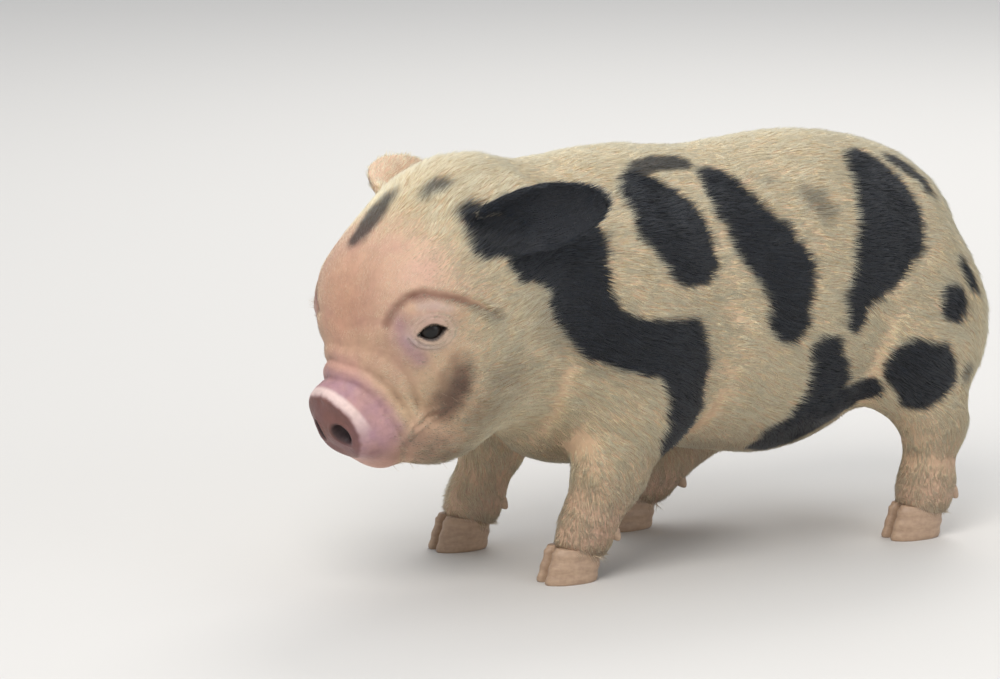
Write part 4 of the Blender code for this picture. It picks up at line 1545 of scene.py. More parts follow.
    def body_creases(self, places: Places) -> Array:
        """Soft waves over the body and a shallow crease behind the jaw.

        Args:
            places: The skin's points.

        Returns:
            One height for each.
        """
        points = places.points
        low = 0.25 * MM * self.markings.grain.at(points, 14 * MM)
        gap = np.abs(behind(points, HEAD_CUT) - 4 * MM + 3 * low)
        throat = ease(0.112, 0.085, points[:, 2])
        return low * (1 - places.head) - 0.5 * MM * bell(gap, 4 * MM) * throat

    def mouth_line(self, places: Places) -> Array:
        """How deep the closed mouth's line is pressed in.

        Args:
            places: The skin's points.

        Returns:
            One height for each.
        """
        spots = mirrored(places.head_local, 1)
        gaps = np.full(len(spots), FAR)
        near = places.head > 0.5
        gaps[near] = route_gap(spots[near], self.mouth)
        lips = 0.5 * MM * bell(gaps - 2.2 * MM, 1.1 * MM)
        return 1.9 * MM * bell(gaps, 0.75 * MM) - lips

    def snout_face(self, points: Array) -> Array:
        """The points with the disc's raised rim, its sunk middle and the two nostrils.

        Args:
            points: Rows of positions.

        Returns:
            The moved points.
        """
        flat = DISC.local(HEAD.local(points))
        outward, left, up = flat.T
        share = DISC.share(flat)
        front = ease(0.5 * MM, 2.2 * MM, outward) * (share < 1.2)
        push = 0.55 * MM * bell(share - 0.84, 0.11) - self.sunk * ease(0.76, 0.5, share)
        push -= 0.5 * MM * ease(2.2 * MM, 0.4 * MM, np.abs(left)) * ease(0.5, 0.95, share) * (up > 0)
        pit = DISC.nostrils(flat)
        push -= self.pit_depth * ease(1.0, 0.62, pit)
        push += 0.5 * MM * bell(pit - 1.22, 0.16)
        return points + HEAD.rows.T @ DISC.axes[0] * (front * push)[:, None]

    def lids(self, points: Array) -> Array:
        """The points with the lids opened over the eyes, their edges on the almond's outline.

        Args:
            points: Rows of positions.

        Returns:
            The moved points.
        """
        head_local = HEAD.local(points)
        eye = EYE.local(head_local)
        outward, along, across = eye.T
        gap = lid_gap(along, across)
        near = (outward > 0) & (gap < 0.7 * MM) & (np.hypot(along, across) < 1.5 * EYE.half_width)
        edge = near & (np.abs(gap) < 0.30 * MM) & (np.abs(along) < EYE.half_width)
        across[edge] -= np.sign(across[edge]) * gap[edge]
        gap[edge] = 0
        flat = np.hypot(along, across)
        level = EYE.radius + mix(0.15 * MM, 0.85 * MM, ease(0.0, 0.6 * MM, gap))
        level = np.where(gap < -0.01 * MM, EYE.radius - 1.4 * MM, level)
        height = np.sqrt(np.maximum(level**2 - flat**2, TINY))
        outward[near] = height[near]
        side = np.where(head_local[:, 1] < 0, -1, 1)
        moved = np.stack([outward, along, across], axis=1) @ EYE.axes + EYE.centre
        moved[:, 1] *= side
        return np.where(near[:, None], HEAD.point(moved), points)

    def build(self) -> bpy.types.Object:
        """Makes the skin's mesh and writes its markings.

        Returns:
            The skin, without its finish.
        """
        zoom = Zoom()
        mesh = self.remeshed(zoom)
        edges = np.empty(len(mesh.edges) * 2, np.int32)
        mesh.edges.foreach_get("vertices", edges)
        edges = edges.reshape(-1, 2)
        points = zoom.moved(read_points(mesh), back=True)
        self.corners = read_corners(mesh)
        bpy.data.meshes.remove(mesh)
        for rounds in (3, 2):
            points = self.settled(self.relaxed(edges, points, rounds), 3)
        self.points = points
        self.mark_ears()
        self.points = self.folded(points)
        skin = mesh_piece("skin", self.points, self.corners)
        tints = self.markings.tints(points)
        self.markings.on_ears(tints, self.points[:, 0] > HEAD.centre[0], self.on_ear, 0.32)
        write_values(skin, tints)
        return skin


@dataclass(frozen=True)
class Tufts:
    """Roots and shapes of many tufts, each array with one row or number for each tuft.

    The roots are sunk a little way into the skin.
    """

    roots: Array
    normals: Array
    lies: Array
    lengths: Array
    widths: Array
    lifts: Array
    curls: Array
    sunk: float = 0.3 * MM

    def spine(self, share: float) -> Array:
        """Where each tuft's middle line is at this share of its length.

        Args:
            share: 0 at the root, 1 at the tip.

        Returns:
            One place for each tuft.
        """
        aside = np.cross(self.normals, self.lies)
        rise = self.lifts * share * (1.55 - 0.75 * share)
        spot = self.roots - self.normals * self.sunk
        spot = spot + self.lies * (self.lengths * share)[:, None]
        spot = spot + self.normals * (self.lengths * rise)[:, None]
        return spot + aside * (self.lengths * self.curls * share**2)[:, None]

    def mesh(self, shares: Sequence[float]) -> tuple[Array, Array, Array]:
        """Builds the tufts as closed, tapered, three-sided locks.

        Args:
            shares: Where along a tuft its rings lie; the tip is added.

        Returns:
            The points, the triangles, and each point's share of its tuft's length.
        """
        aside = np.cross(self.normals, self.lies)
        rings, levels = [], []
        for share in shares:
            middle = self.spine(share)
            half = (self.widths * (1 - share**1.6) / 2)[:, None]
            rings += [middle - aside * half, middle + aside * half, middle + self.normals * half * 0.9]
            levels += [share] * 3
        rings.append(self.spine(1.0))
        levels.append(1.0)
        faces = [(0, 1, 2)]
        for ring in range(len(shares) - 1):
            low, high = 3 * ring, 3 * ring + 3
            for i, j in ((0, 1), (1, 2), (2, 0)):
                faces += [(low + i, high + j, low + j), (low + i, high + i, high + j)]
        last, tip = 3 * len(shares) - 3, 3 * len(shares)
        faces += [(last, tip, last + 1), (last + 1, tip, last + 2), (last + 2, tip, last)]
        count, each = len(self.roots), len(levels)
        points = np.stack(rings, axis=1).reshape(-1, 3)
        corners = (np.array(faces)[None] + (np.arange(count) * each)[:, None, None]).reshape(-1, 3)
        return points, corners, np.tile(levels, count)


@dataclass
class Coat:
    """The short coat: seeded, overlapping tufts that follow its lie, in one piece for each region."""

    LENGTHS = {"head": 6.0, "crown": 6.8, "face": 2.3, "belly": 5.6, "leg": 4.6, "foot": 3.6,
               "skirt": 4.8, "ear": 4.6, "tail": 6.0}
    WIDTHS = {"head": 0.34, "face": 0.25, "leg": 0.32, "foot": 0.30, "ear": 0.32, "tail": 0.32}
    LIFTS = {"head": 0.24, "face": 0.20, "leg": 0.22, "foot": 0.18, "ear": 0.16, "tail": 0.12}
    DENSITIES = {"head": 2.6, "face": 3.4, "leg": 2.8, "foot": 3.4, "ear": 2.5, "snout": 0.30}

    skin: Skin
    markings: Markings
    seed: int = 23
    layout_size: float = 0.003
    most_triangles: int = 195_000
    tuft_triangles: int = 4
    grain: Grain = field(default_factory=lambda: Grain(5))

    def lie(self, places: Places) -> Array:
        """Which way the coat runs at each place.

        Args:
            places: The places.

        Returns:
            Rows of directions.
        """
        points = places.points
        forward, left, up = places.head_local.T
        flank = ease(0.165, 0.10, points[:, 2])[:, None]
        run = np.array([(0, 1.0, -0.10)]) + flank * np.array([(0, 0, -0.28)])
        rear = ease(0.070, 0.108, points[:, 1])[:, None]
        run = mix(run, np.array([(0, 0.35, -1.0)]), rear)
        rise = 0.55 * ease(0.010, 0.035, up) - 0.30 * ease(0.0, -0.03, up)
        aside = 0.5 * np.tanh(left / (9 * MM)) * ease(0.045, 0.02, forward)
        head_run = -HEAD.rows[0] + rise[:, None] * HEAD.rows[2] + aside[:, None] * HEAD.rows[1]
        run = mix(run, head_run, places.head[:, None])
        run = mix(run, np.array([(0, 0.12, -1.0)]), places.leg[:, None])
        run = mix(run, np.array([(0, 0.25, -1.0)]), places.tail[:, None])
        for ear in EARS:
            here = places.ear * (np.sign(left) == np.sign(ear.root[1]))
            along = HEAD.rows.T @ unit(ear.tip)
            run = mix(run, along[None], here[:, None])
        swirl = np.stack([self.grain.at(points + offset, 17 * MM) for offset in (0, 0.2, 0.4)], axis=1)
        return run + 0.30 * swirl

    def shape(self, places: Places, draw: np.random.Generator) -> tuple[Array, ...]:
        """Works out the size and bend of a tuft at each place.

        Args:
            places: The tufts' roots.
            draw: The seeded source of draws.

        Returns:
            Lengths, widths, lifts and curls.
        """
        count = len(places.points)
        length = places.regional(6.8, self.LENGTHS, MM)
        width = places.regional(0.38, self.WIDTHS, MM)
        lift = places.regional(0.22, self.LIFTS)
        locks = 0.5 + 0.5 * self.grain.at(places.points, 4 * MM)
        length *= draw.uniform(0.70, 1.20, count) * (0.88 + 0.24 * locks)
        width *= draw.uniform(0.75, 1.25, count)
        lift *= draw.uniform(0.55, 1.30, count) * (0.80 + 0.4 * locks)
        curl = 0.30 * self.grain.at(places.points, 5 * MM) + draw.uniform(-0.12, 0.12, count)
        return length, width, lift, curl

    def scattered(self, draw: np.random.Generator) -> tuple[Array, Array, Array]:
        """Draws the roots over the skin, thicker where the hair is shorter.

        Args:
            draw: The seeded source of draws.

        Returns:
            For each root its place, its triangle, and its three weights there.
        """
        points, corners = self.skin.points, self.skin.corners
        middles = points[corners].mean(axis=1)
        area = np.linalg.norm(face_normals(points, corners), axis=1) / 2
        places = Places(middles, self.skin.on_ear[corners[:, 0]])
        density = places.regional(2.15, self.DENSITIES)
        density *= ease(0.95, 1.35, places.eye_rings)
        disc = DISC.local(places.head_local)[:, 0]
        density *= ease(-2.0 * MM, -5.0 * MM, disc)
        wanted = np.cumsum(density * area / MM**2)
        count = int(wanted[-1])
        chosen = np.searchsorted(wanted, draw.uniform(0, wanted[-1], count))
        weights = draw.dirichlet((1, 1, 1), count)
        return (points[corners[chosen]] * weights[:, :, None]).sum(axis=1), chosen, weights

    def regions(self, places: Places) -> Array:
        """Parts the roots among the coat's pieces.

        Args:
            places: The tufts' roots.

        Returns:
            The name of each root's piece.
        """
        roots, (forward, left, _) = places.points, places.head_local.T
        side = np.where(roots[:, 0] > 0, "left", "right")
        rear = np.where(roots[:, 1] < 0.045, "flank_", "rump_")
        barrel = np.where(roots[:, 1] < -0.012, "shoulder_", rear)
        names = np.char.add(np.char.add("coat_", barrel), side).astype("<U32")
        legs = np.array([leg_form(roots, leg) for leg in Leg])
        low = roots[:, 2] < 0.058
        leg_names = np.array(["coat_" + leg.value for leg in Leg])[legs.argmin(axis=0)]
        names = np.where(low & (legs.min(axis=0) < torso_form(roots)), leg_names, names)
        on_neck = (behind(roots, NECK_CUT) < 0) & ~(low & (legs.min(axis=0) < 1 * MM))
        names = np.where(on_neck, "coat_neck", names)
        part = np.where(forward > 0.016, "coat_face", "coat_crown")
        names = np.where(behind(roots, HEAD_CUT) < 0, part, names)
        ear = np.where(left > 0, "coat_ear_left", "coat_ear_right")
        names = np.where(places.ear > 0.5, ear, names)
        on_tail = (TAIL.form(roots) < 0.5 * MM) & (roots[:, 1] > 0.112)
        return np.where(on_tail, "coat_tail", names)

    def unwrap(self, name: str, roots: Array, ear_spots: Array) -> Array:
        """Lays a region's roots out flat by the region's own shape.

        Args:
            name: The coat piece.
            roots: The roots in it.
            ear_spots: For ears, the share along the ear and the side of the sheet.

        Returns:
            Rows of two numbers between 0 and 1.
        """
        if "ear" in name:
            flat = ear_spots
        elif "leg" in name or "tail" in name:
            middle = roots.mean(axis=0)
            angle = np.arctan2(roots[:, 0] - middle[0], roots[:, 1] - middle[1])
            flat = np.column_stack([angle, roots[:, 2] * 40])
        else:
            centre = np.median(roots, axis=0) * vec(0, 1, 1) + vec(0, 0, 0.004)
            if name in ("coat_face", "coat_crown"):
                centre = HEAD.point(vec(0.0, 0, -0.004))
            away = unit(roots - centre)
            flat = np.column_stack([np.arctan2(away[:, 0], away[:, 2]), (roots[:, 1] - centre[1]) * 14])
        low, high, margin = flat.min(axis=0), flat.max(axis=0), 0.01
        return margin + (1 - 2 * margin) * (flat - low) / (high - low)

    def grow(self) -> list[bpy.types.Object]:
        """Grows every tuft.

        Returns:
            The coat's pieces, without their finish.
        """
        draw = np.random.default_rng(self.seed)
        roots, chosen, weights = self.scattered(draw)
        corners = self.skin.corners[chosen]
        normals = normals_of(self.skin.points, self.skin.corners)
        normals = unit((normals[corners] * weights[:, :, None]).sum(axis=1))
        on_ear = (self.skin.on_ear[corners] * weights).sum(axis=1)
        ear_share = (self.skin.ear_share[corners] * weights).sum(axis=1)
        places = Places(roots, on_ear)
        lie = self.lie(places)
        lie = unit(lie - (lie * normals).sum(axis=1)[:, None] * normals)
        length, width, lift, curl = self.shape(places, draw)
        length = mix(length, 5.5 * MM, ease(0.80, 0.95, ear_share) * on_ear)
        tone = draw.uniform(-1, 1, len(roots))
        jitter = unit(draw.normal(size=roots.shape)) * 0.8 * MM
        tints = self.markings.tints(roots + lie * (0.45 * length)[:, None] + jitter)
        self.markings.on_ears(tints, places.head_local[:, 1] > 0, on_ear, 0.06)
        names = self.regions(places)
        facing = (normals * unit(HEAD.rows.T @ vec(0.6, 0, 0.1))).sum(axis=1)
        pieces = []
        for name in sorted(set(names)):
            here = np.flatnonzero(names == name)
            if len(here) * self.tuft_triangles > self.most_triangles:
                here = here[: self.most_triangles // self.tuft_triangles]
                log.warning("%s was thinned to %d tufts", name, len(here))
            tufts = Tufts(*(rows[here] for rows in (roots, normals, lie, length, width, lift, curl)))
            points, faces, along = tufts.mesh((0.0,))
            piece = mesh_piece(name, points, faces)
            rings = len(points) // len(here)
            values = {key: np.repeat(value[here], rings) for key, value in {**tints, "tone": tone}.items()}
            write_values(piece, {**values, "along": along})
            spots = self.unwrap(name, roots[here], np.column_stack([ear_share[here], facing[here]]))
            offsets = np.tile([(-1, -1), (1, -1), (0, 0), (0, 1)], (len(here), 1))
            layout = np.repeat(spots, rings, axis=0) + offsets * self.layout_size / 2
            layer = piece.data.uv_layers.new(name="OFBake")
            layer.data.foreach_set("uv", layout[faces.ravel()].astype(np.float32).ravel())
            pieces.append(piece)
            log.info("%s: %d tufts, %d triangles", name, len(here), len(faces))
        return pieces


@dataclass
class EyeBall:
    """A wet, dark eye with a slight swelling over the iris."""

    name: str
    side: int
    gaze: Triple = (0.50, 0.86, 0.02)
    iris: float = math.radians(38)
    bulge: float = 0.12 * MM

    def build(self) -> bpy.types.Object:
        """Makes the ball with its pole along the gaze.

        Returns:
            The eyeball.
        """
        centre = HEAD.point(EYE.centre * vec(1, self.side, 1))
        gaze = unit(HEAD.rows.T @ unit(vec(*self.gaze) * vec(1, self.side, 1)))
        model = bmesh.new()
        bmesh.ops.create_uvsphere(model, u_segments=64, v_segments=48, radius=EYE.radius)
        for vert in model.verts:
            angle = math.acos(max(-1.0, min(1.0, vert.co.z / EYE.radius)))
            swell = float(ease(self.iris * 1.15, self.iris * 0.6, np.array(angle)))
            vert.co *= 1 + self.bulge / EYE.radius * swell
        mesh = bpy.data.meshes.new(self.name)
        model.to_mesh(mesh)
        model.free()
        mesh.shade_smooth()
        ball = placed(self.name, mesh)
        level = np.cross(gaze, HEAD.rows[2])
        turn = Matrix(np.array([unit(level), unit(np.cross(gaze, level)), gaze]).T.tolist()).to_4x4()
        ball.matrix_world = Matrix.Translation(Vector(centre + CAD_SHIFT)) @ turn
        return ball


@dataclass
class Lashes:
    """Pale lashes along both upper lids, and fine bristles on chin and lips."""

    count: int = 34
    bristles: int = 90
    seed: int = 41

    def build(self, skin: Skin) -> bpy.types.Object:
        """Makes all lashes and bristles as one piece.

        Args:
            skin: The skin that they grow from.

        Returns:
            The piece.
        """
        draw = np.random.default_rng(self.seed)
        roots, normals, lies, lengths = [], [], [], []
        for side in (1, -1):
            for number in range(self.count):
                across_lid = mix(-0.88, 0.88, number / (self.count - 1))
                along = EYE.half_width * across_lid
                rise = EYE.half_height * (1 - across_lid**2) + 0.25 * MM
                spot = vec(math.sqrt((EYE.radius + 0.7 * MM) ** 2 - along**2 - rise**2), along, rise)
                spot = spot @ EYE.axes + EYE.centre
                way = vec(1.0, 0.55 * across_lid - 0.25, 0.25) + draw.uniform(-0.15, 0.15, 3)
                way = way @ EYE.axes
                for part in (spot, way):
                    part[1] *= side
                roots.append(HEAD.point(spot))
                lies.append(unit(way @ HEAD.rows))
                normals.append(unit(np.cross(lies[-1], np.cross(vec(0, 0, 1), lies[-1]))))
                lengths.append(draw.uniform(3.0, 4.6) * MM)
        surface = normals_of(skin.points, skin.corners)
        forward, _, up = HEAD.local(skin.points).T
        chin = np.flatnonzero((forward > 0.030) & (forward < 0.060) & (up < -0.012) & (up > -0.056))
        for number in draw.choice(chin, self.bristles, replace=False):
            way = unit(surface[number] * 0.9 - HEAD.rows[0] * 0.8 - HEAD.rows[2] * 0.3)
            roots.append(skin.points[number])
            lies.append(way)
            normals.append(unit(np.cross(way, np.cross(surface[number], way))))
            lengths.append(draw.uniform(2.5, 5.0) * MM)
        count = len(roots)
        tufts = Tufts(
            np.array(roots), np.array(normals), np.array(lies), np.array(lengths),
            np.full(count, 0.17 * MM), np.full(count, 0.25), draw.uniform(-0.1, 0.1, count),
        )
        points, faces, along = tufts.mesh((0.0, 0.35, 0.7))
        piece = mesh_piece("lashes_and_bristles", points, faces)
        write_values(piece, {"along": along})
        return piece


@dataclass
class Horn:
    """A horn piece on the inner or the outer side of a foot."""

    KIND = "horn"

    leg: Leg
    label: str
    side: int

    @property
    def node(self) -> str:
        """The name of the piece's node."""
        return f"{self.leg.value.replace('leg', '')}_{self.KIND}_{self.label}"


@dataclass
class Hoof(Horn):
    """One claw of a cloven hoof: a blunt wedge with a flat sole, a rounded edge and growth rings."""

    KIND = "claw"

    length: float = 0.0240
    width: float = 0.0106
    cleft: float = 0.0012
    height: float = 0.0185
    around: int = 48
    levels: int = 22
    rib_height: float = 0.00012
    rib_spacing: float = 0.00085

    def build(self) -> bpy.types.Object:
        """Lofts the claw from rings, sole to coronet.

        Returns:
            The claw.
        """
        foot = LEG_JOINTS[self.leg][4]
        turns = np.linspace(0, 2 * math.pi, self.around, endpoint=False)
        ahead, aside = -np.cos(turns), np.sin(turns)
        rings = []
        heights = np.concatenate([[0.0, 0.0, 0.0006, 0.0016], np.linspace(0.003, 0.0138, self.levels - 4)])
        tucks = np.concatenate([[0.0, 0.93, 0.975, 1.0], np.ones(self.levels - 4)])
        for height, tuck in zip(heights, tucks):
            share = height / self.height
            half_length = self.length / 2 * (1 - 0.16 * share)
            half_width = self.width / 2 * (1 - 0.06 * share)
            taper = 1 - 0.22 * np.maximum(0, -ahead) ** 2
            reach = half_length * np.sign(ahead) * np.abs(ahead) ** 0.85
            spread = np.where(aside < 0, -0.62 * np.abs(aside) ** 0.35, aside) * half_width * taper
            rib = self.rib_height * math.sin(height / self.rib_spacing) * (height > 0.002)
            swell = tuck * (1 + rib / (self.width / 2))
            top = 0.94 if height > 0.0120 else 1.0
            middle = foot[1] - 0.0040 + 0.0045 * share
            centre = foot[0] + self.side * (self.cleft / 2 + half_width * 0.62)
            tilt = -0.20 * reach * ease(0.006, 0.0138, np.array(height)) * 0.5
            ring = np.column_stack([
                centre + self.side * spread * swell * top,
                middle + reach * swell * top,
                np.full(self.around, height) + tilt,
            ])
            rings.append(ring)
        points = np.concatenate(rings + [rings[-1].mean(axis=0)[None]])
        corner = np.arange(self.around)
        ahead_one = np.roll(corner, -1)
        faces = []
        for level in range(self.levels - 1):
            low, high = level * self.around, (level + 1) * self.around
            faces.append(np.column_stack([low + corner, high + ahead_one, low + ahead_one]))
            faces.append(np.column_stack([low + corner, high + corner, high + ahead_one]))
        last, tip = (self.levels - 1) * self.around, self.levels * self.around
        faces.append(np.column_stack([last + corner, np.full(self.around, tip), last + ahead_one]))
        faces = np.concatenate(faces)
        if (face_normals(points, faces) * (points[faces[:, 0]] - points.mean(axis=0))).sum() < 0:
            faces = faces[:, ::-1]
        return mesh_piece("hoof_" + self.node, points, faces)


@dataclass
class Dewclaw(Horn):
    """A small horn peg behind the fetlock."""

    KIND = "dewclaw"

    sizes: Triple = (0.0029, 0.0029, 0.0050)

    def build(self) -> bpy.types.Object:
        """Makes a drop-shaped peg, leaning down and out.

        Returns:
            The peg.
        """
        fetlock = LEG_JOINTS[self.leg][3]
        radius = (FORE_RADII if self.leg.is_fore else HIND_RADII)[3]
        centre = vec(fetlock[0] + self.side * 0.0056, fetlock[1] + 0.80 * radius, 0.0200)
        lean = Vector((self.side * 0.25, 0.55, -0.80)).to_track_quat("Z", "Y").to_matrix()
        ball, faces = ball_parts(24, 18, triangles=True)
        ball[:, :2] *= 1 - 0.25 * ease(0.0, 1.0, ball[:, 2:])
        points = (ball * self.sizes) @ np.array(lean).T + centre
        return mesh_piece("horn_" + self.node, points, np.array(faces))


Number = Union["Wire", float]


class Wire:
    """A node's output that can be used in Python's own arithmetic."""

    def __init__(self, board: "Board", socket: bpy.types.NodeSocket) -> None:
        """Holds the output and the board that it is on."""
        self.board, self.socket = board, socket

    def __add__(self, other: Number) -> "Wire":
        """Adds."""
        return self.board.maths("ADD", self, other)

    def __rsub__(self, other: Number) -> "Wire":
        """Is taken away from a number."""
        return self.board.maths("SUBTRACT", other, self)

    def __mul__(self, other: Number) -> "Wire":
        """Multiplies."""
        return self.board.maths("MULTIPLY", self, other)

    __radd__ = __add__


Setting = Union[str, float, bool, Sequence]
Link = Union[Wire, float, Sequence[float]]


class Board:
    """The nodes of one material."""

    def __init__(self, name: str, **constants: float) -> None:
        """Makes a material with a Principled shader and sets that shader's constant values."""
        self.material = bpy.data.materials.new(name)
        self.material.use_nodes = True
        self.tree = self.material.node_tree
        self.shader = self.tree.nodes["Principled BSDF"]
        for key, value in constants.items():
            self.shader.inputs[key.replace("_", " ").title().replace("Ior", "IOR")].default_value = value

    def plug(self, socket: bpy.types.NodeSocket, link: Link) -> None:
        """Links an output to a socket, or sets the socket's value.

        Args:
            socket: The socket.
            link: The output or value.
        """
        if isinstance(link, Wire):
            self.tree.links.new(link.socket, socket)
        else:
            socket.default_value = link

    def feed(self, name: str, link: Link) -> None:
        """Feeds one of the shader's inputs."""
        self.plug(self.shader.inputs[name], link)

    def node(
        self, kind: str, settings: dict[str, Setting], links: dict, output: Union[int, str] = 0
    ) -> Wire:
        """Adds a node.

        Args:
            kind: The node's type.
            settings: Its own settings; stops are a ramp's positions and colours.
            links: Values or outputs for its sockets, by name or number.
            output: Which of its outputs is wanted.

        Returns:
            That output.
        """
        made = self.tree.nodes.new(kind)
        for key, value in settings.items():
            if key == "stops":
                while len(made.color_ramp.elements) < len(value):
                    made.color_ramp.elements.new(0.5)
                for stop, (position, colour) in zip(made.color_ramp.elements, value):
                    stop.position, stop.color = position, colour
            else:
                setattr(made, key, value)
        for key, link in links.items():
            self.plug(made.inputs[key], link)
        return Wire(self, made.outputs[output])

    def maths(self, operation: str, first: Number, second: Number) -> Wire:
        """One Math node."""
        return self.node("ShaderNodeMath", {"operation": operation}, {0: first, 1: second})

    def value(self, name: str) -> Wire:
        """A number stored on the mesh's vertices."""
        return self.node("ShaderNodeAttribute", {"attribute_name": name}, {}, "Fac")

    def noise(self, size: float, detail: float = 3.0, stretch: Sequence[float] = (1, 1, 1)) -> Wire:
        """Noise over the object, from 0 to 1, with features of this size in metres."""
        links = {"Vector": self.stretched(stretch), "Scale": 1 / size, "Detail": detail}
        return self.node("ShaderNodeTexNoise", {}, links)

    def stretched(self, stretch: Sequence[float]) -> Wire:
        """The place on the object, with its three axes stretched."""
        spot = self.node("ShaderNodeTexCoord", {}, {}, "Object")
        return self.node("ShaderNodeVectorMath", {"operation": "MULTIPLY"}, {0: spot, 1: stretch})

    def radius(self, stretch: Sequence[float]) -> Wire:
        """The distance from the object's origin, with its three axes stretched."""
        links = {0: self.stretched(stretch)}
        return self.node("ShaderNodeVectorMath", {"operation": "LENGTH"}, links, "Value")

    def ramp(self, value: Wire, low: float, high: float) -> Wire:
        """The value's rise from low to high, as 0 to 1."""
        limits = {"Value": value, "From Min": low, "From Max": high}
        return self.node("ShaderNodeMapRange", {"interpolation_type": "SMOOTHSTEP"}, limits)

    def mixed(self, first: Link, second: Link, share: Number) -> Wire:
        """A colour between two colours."""
        return self.node("ShaderNodeMix", {"data_type": "RGBA"}, {0: share, 6: first, 7: second}, 2)

    def shaded(self, colour: Link, factor: Wire) -> Wire:
        """A colour times a number.

        Args:
            colour: The colour.
            factor: The number.

        Returns:
            The darker or lighter colour.
        """
        grey = self.node("ShaderNodeCombineColor", {}, {0: factor, 1: factor, 2: factor})
        settings = {"data_type": "RGBA", "blend_type": "MULTIPLY"}
        return self.node("ShaderNodeMix", settings, {0: 1.0, 6: colour, 7: grey}, 2)

    def tinted(self, colour: Wire, finish: "MarkedFinish", share: float) -> Wire:
        """Lays the tints of the markings over a colour, painted shade and highlight among them.

        Args:
            colour: The colour under them.
            finish: The finish that has a colour for each marking.
            share: How strong a full marking is.

        Returns:
            The tinted colour.
        """
        for name in ("warm", "mauve", "pale", "brown", "rim"):
            colour = self.mixed(colour, getattr(finish, name), self.value(name) * share)
        return colour

    def bump(self, height: Wire, distance: float, strength: float = 1.0) -> None:
        """Feeds a height to the shader's normal."""
        links = {"Height": height, "Distance": distance, "Strength": strength}
        self.feed("Normal", self.node("ShaderNodeBump", {}, links))


def paint(red: int, green: int, blue: int) -> Colour:
    """A screen colour given from 0 to 255, as the shader's linear colour."""
    parts = [number / 255 for number in (red, green, blue)]
    return (*(part / 12.92 if part <= 0.04045 else ((part + 0.055) / 1.055) ** 2.4 for part in parts), 1.0)


@dataclass(frozen=True)
class MarkedFinish:
    """The colours of the markings that skin and coat have in common, painted shade and highlight among
    them.
    """

    pink: Colour
    warm: Colour
    mauve: Colour
    pale: Colour
    brown: Colour
    rim: Colour


@dataclass(frozen=True)
class SkinFinish(MarkedFinish):
    """Soft, slightly moist skin: cream, with grey-black patches and the tints of its markings, painted
    shade and highlight among them.
    """

    pink: Colour = paint(200, 156, 140)
    warm: Colour = paint(192, 138, 112)
    # Mauve of the upper snout, also the painted shade in the eye socket's inner corner.
    mauve: Colour = paint(168, 130, 142)
    pale: Colour = paint(194, 182, 180)
    # Brown of the dark face marks and of the painted shade under the brow, along the jaw, on the legs and
    # in creases.
    brown: Colour = paint(98, 58, 46)
    # Painted highlight on the snout disc's rim.
    rim: Colour = paint(236, 212, 204)
    cream: Colour = paint(204, 174, 142)
    black: Colour = paint(28, 30, 36)

    def build(self) -> bpy.types.Material:
        """Makes the material.

        Returns:
            The material.
        """
        board = Board("pig_skin", specular_ior_level=0.35)
        patchy = board.noise(6 * MM, 4)
        colour = board.mixed(self.cream, self.pink, board.value("bare"))
        colour = board.tinted(colour, self, 0.9)
        fine = board.noise(1.8 * MM, 3)
        colour = board.shaded(colour, patchy * 0.36 + fine * 0.24 + 0.70)
        colour = board.mixed(colour, self.black, board.value("black"))
        board.feed("Base Color", colour)
        board.feed("Roughness", 0.62 - board.value("bare") * 0.14)
        pores = board.noise(0.9 * MM, 3)
        lines = board.noise(2.6 * MM, 4, (1, 0.45, 1))
        board.bump(pores * 0.5 + lines, 0.35 * MM, 0.9)
        return board.material


@dataclass(frozen=True)
class CoatFinish(MarkedFinish):
    """Short hair: cream with straw-coloured roots, or black with a painted blue-grey sheen at the tips,
    varied from tuft to tuft.
    """

    root: Colour = paint(216, 192, 148)
    tip: Colour = paint(248, 240, 212)
    pink: Colour = paint(220, 184, 162)
    warm: Colour = paint(202, 154, 126)
    # Mauve of the upper snout, also the painted shade in the eye socket's inner corner.
    mauve: Colour = paint(190, 162, 160)
    pale: Colour = paint(212, 200, 192)
    # Brown of the dark face marks and of the painted shade under the brow, along the jaw, on the legs and
    # in creases.
    brown: Colour = paint(96, 70, 50)
    # Painted highlight on the snout disc's rim.
    rim: Colour = paint(236, 216, 208)
    black_root: Colour = paint(12, 14, 19)
    # Painted sheen: the blue-grey at the black hair's tips stands in for its glossy reflection.
    black_tip_and_sheen: Colour = paint(42, 52, 66)

    def build(self) -> bpy.types.Material:
        """Makes the material.

        Returns:
            The material.
        """
        board = Board("short_coat", specular_ior_level=0.25, sheen_weight=0.12, sheen_roughness=0.5)
        along, tone = board.value("along"), board.value("tone")
        colour = board.mixed(self.root, self.tip, board.ramp(along + tone * 0.15, 0.0, 0.9))
        colour = board.mixed(colour, self.pink, board.value("bare") * 0.75)
        colour = board.tinted(colour, self, 0.85)
        wide = board.noise(28 * MM, 2)
        colour = board.shaded(colour, tone * 0.10 + wide * 0.14 + 0.93)
        # Black hair, darkest at the root, lightening to a painted blue-grey sheen towards the tip.
        dark = board.mixed(self.black_root, self.black_tip_and_sheen, board.ramp(along + tone * 0.35, 0.2, 1.2))
        colour = board.mixed(colour, dark, board.value("black"))
        board.feed("Base Color", colour)
        board.feed("Roughness", 0.68 - board.value("black") * 0.18)
        return board.material


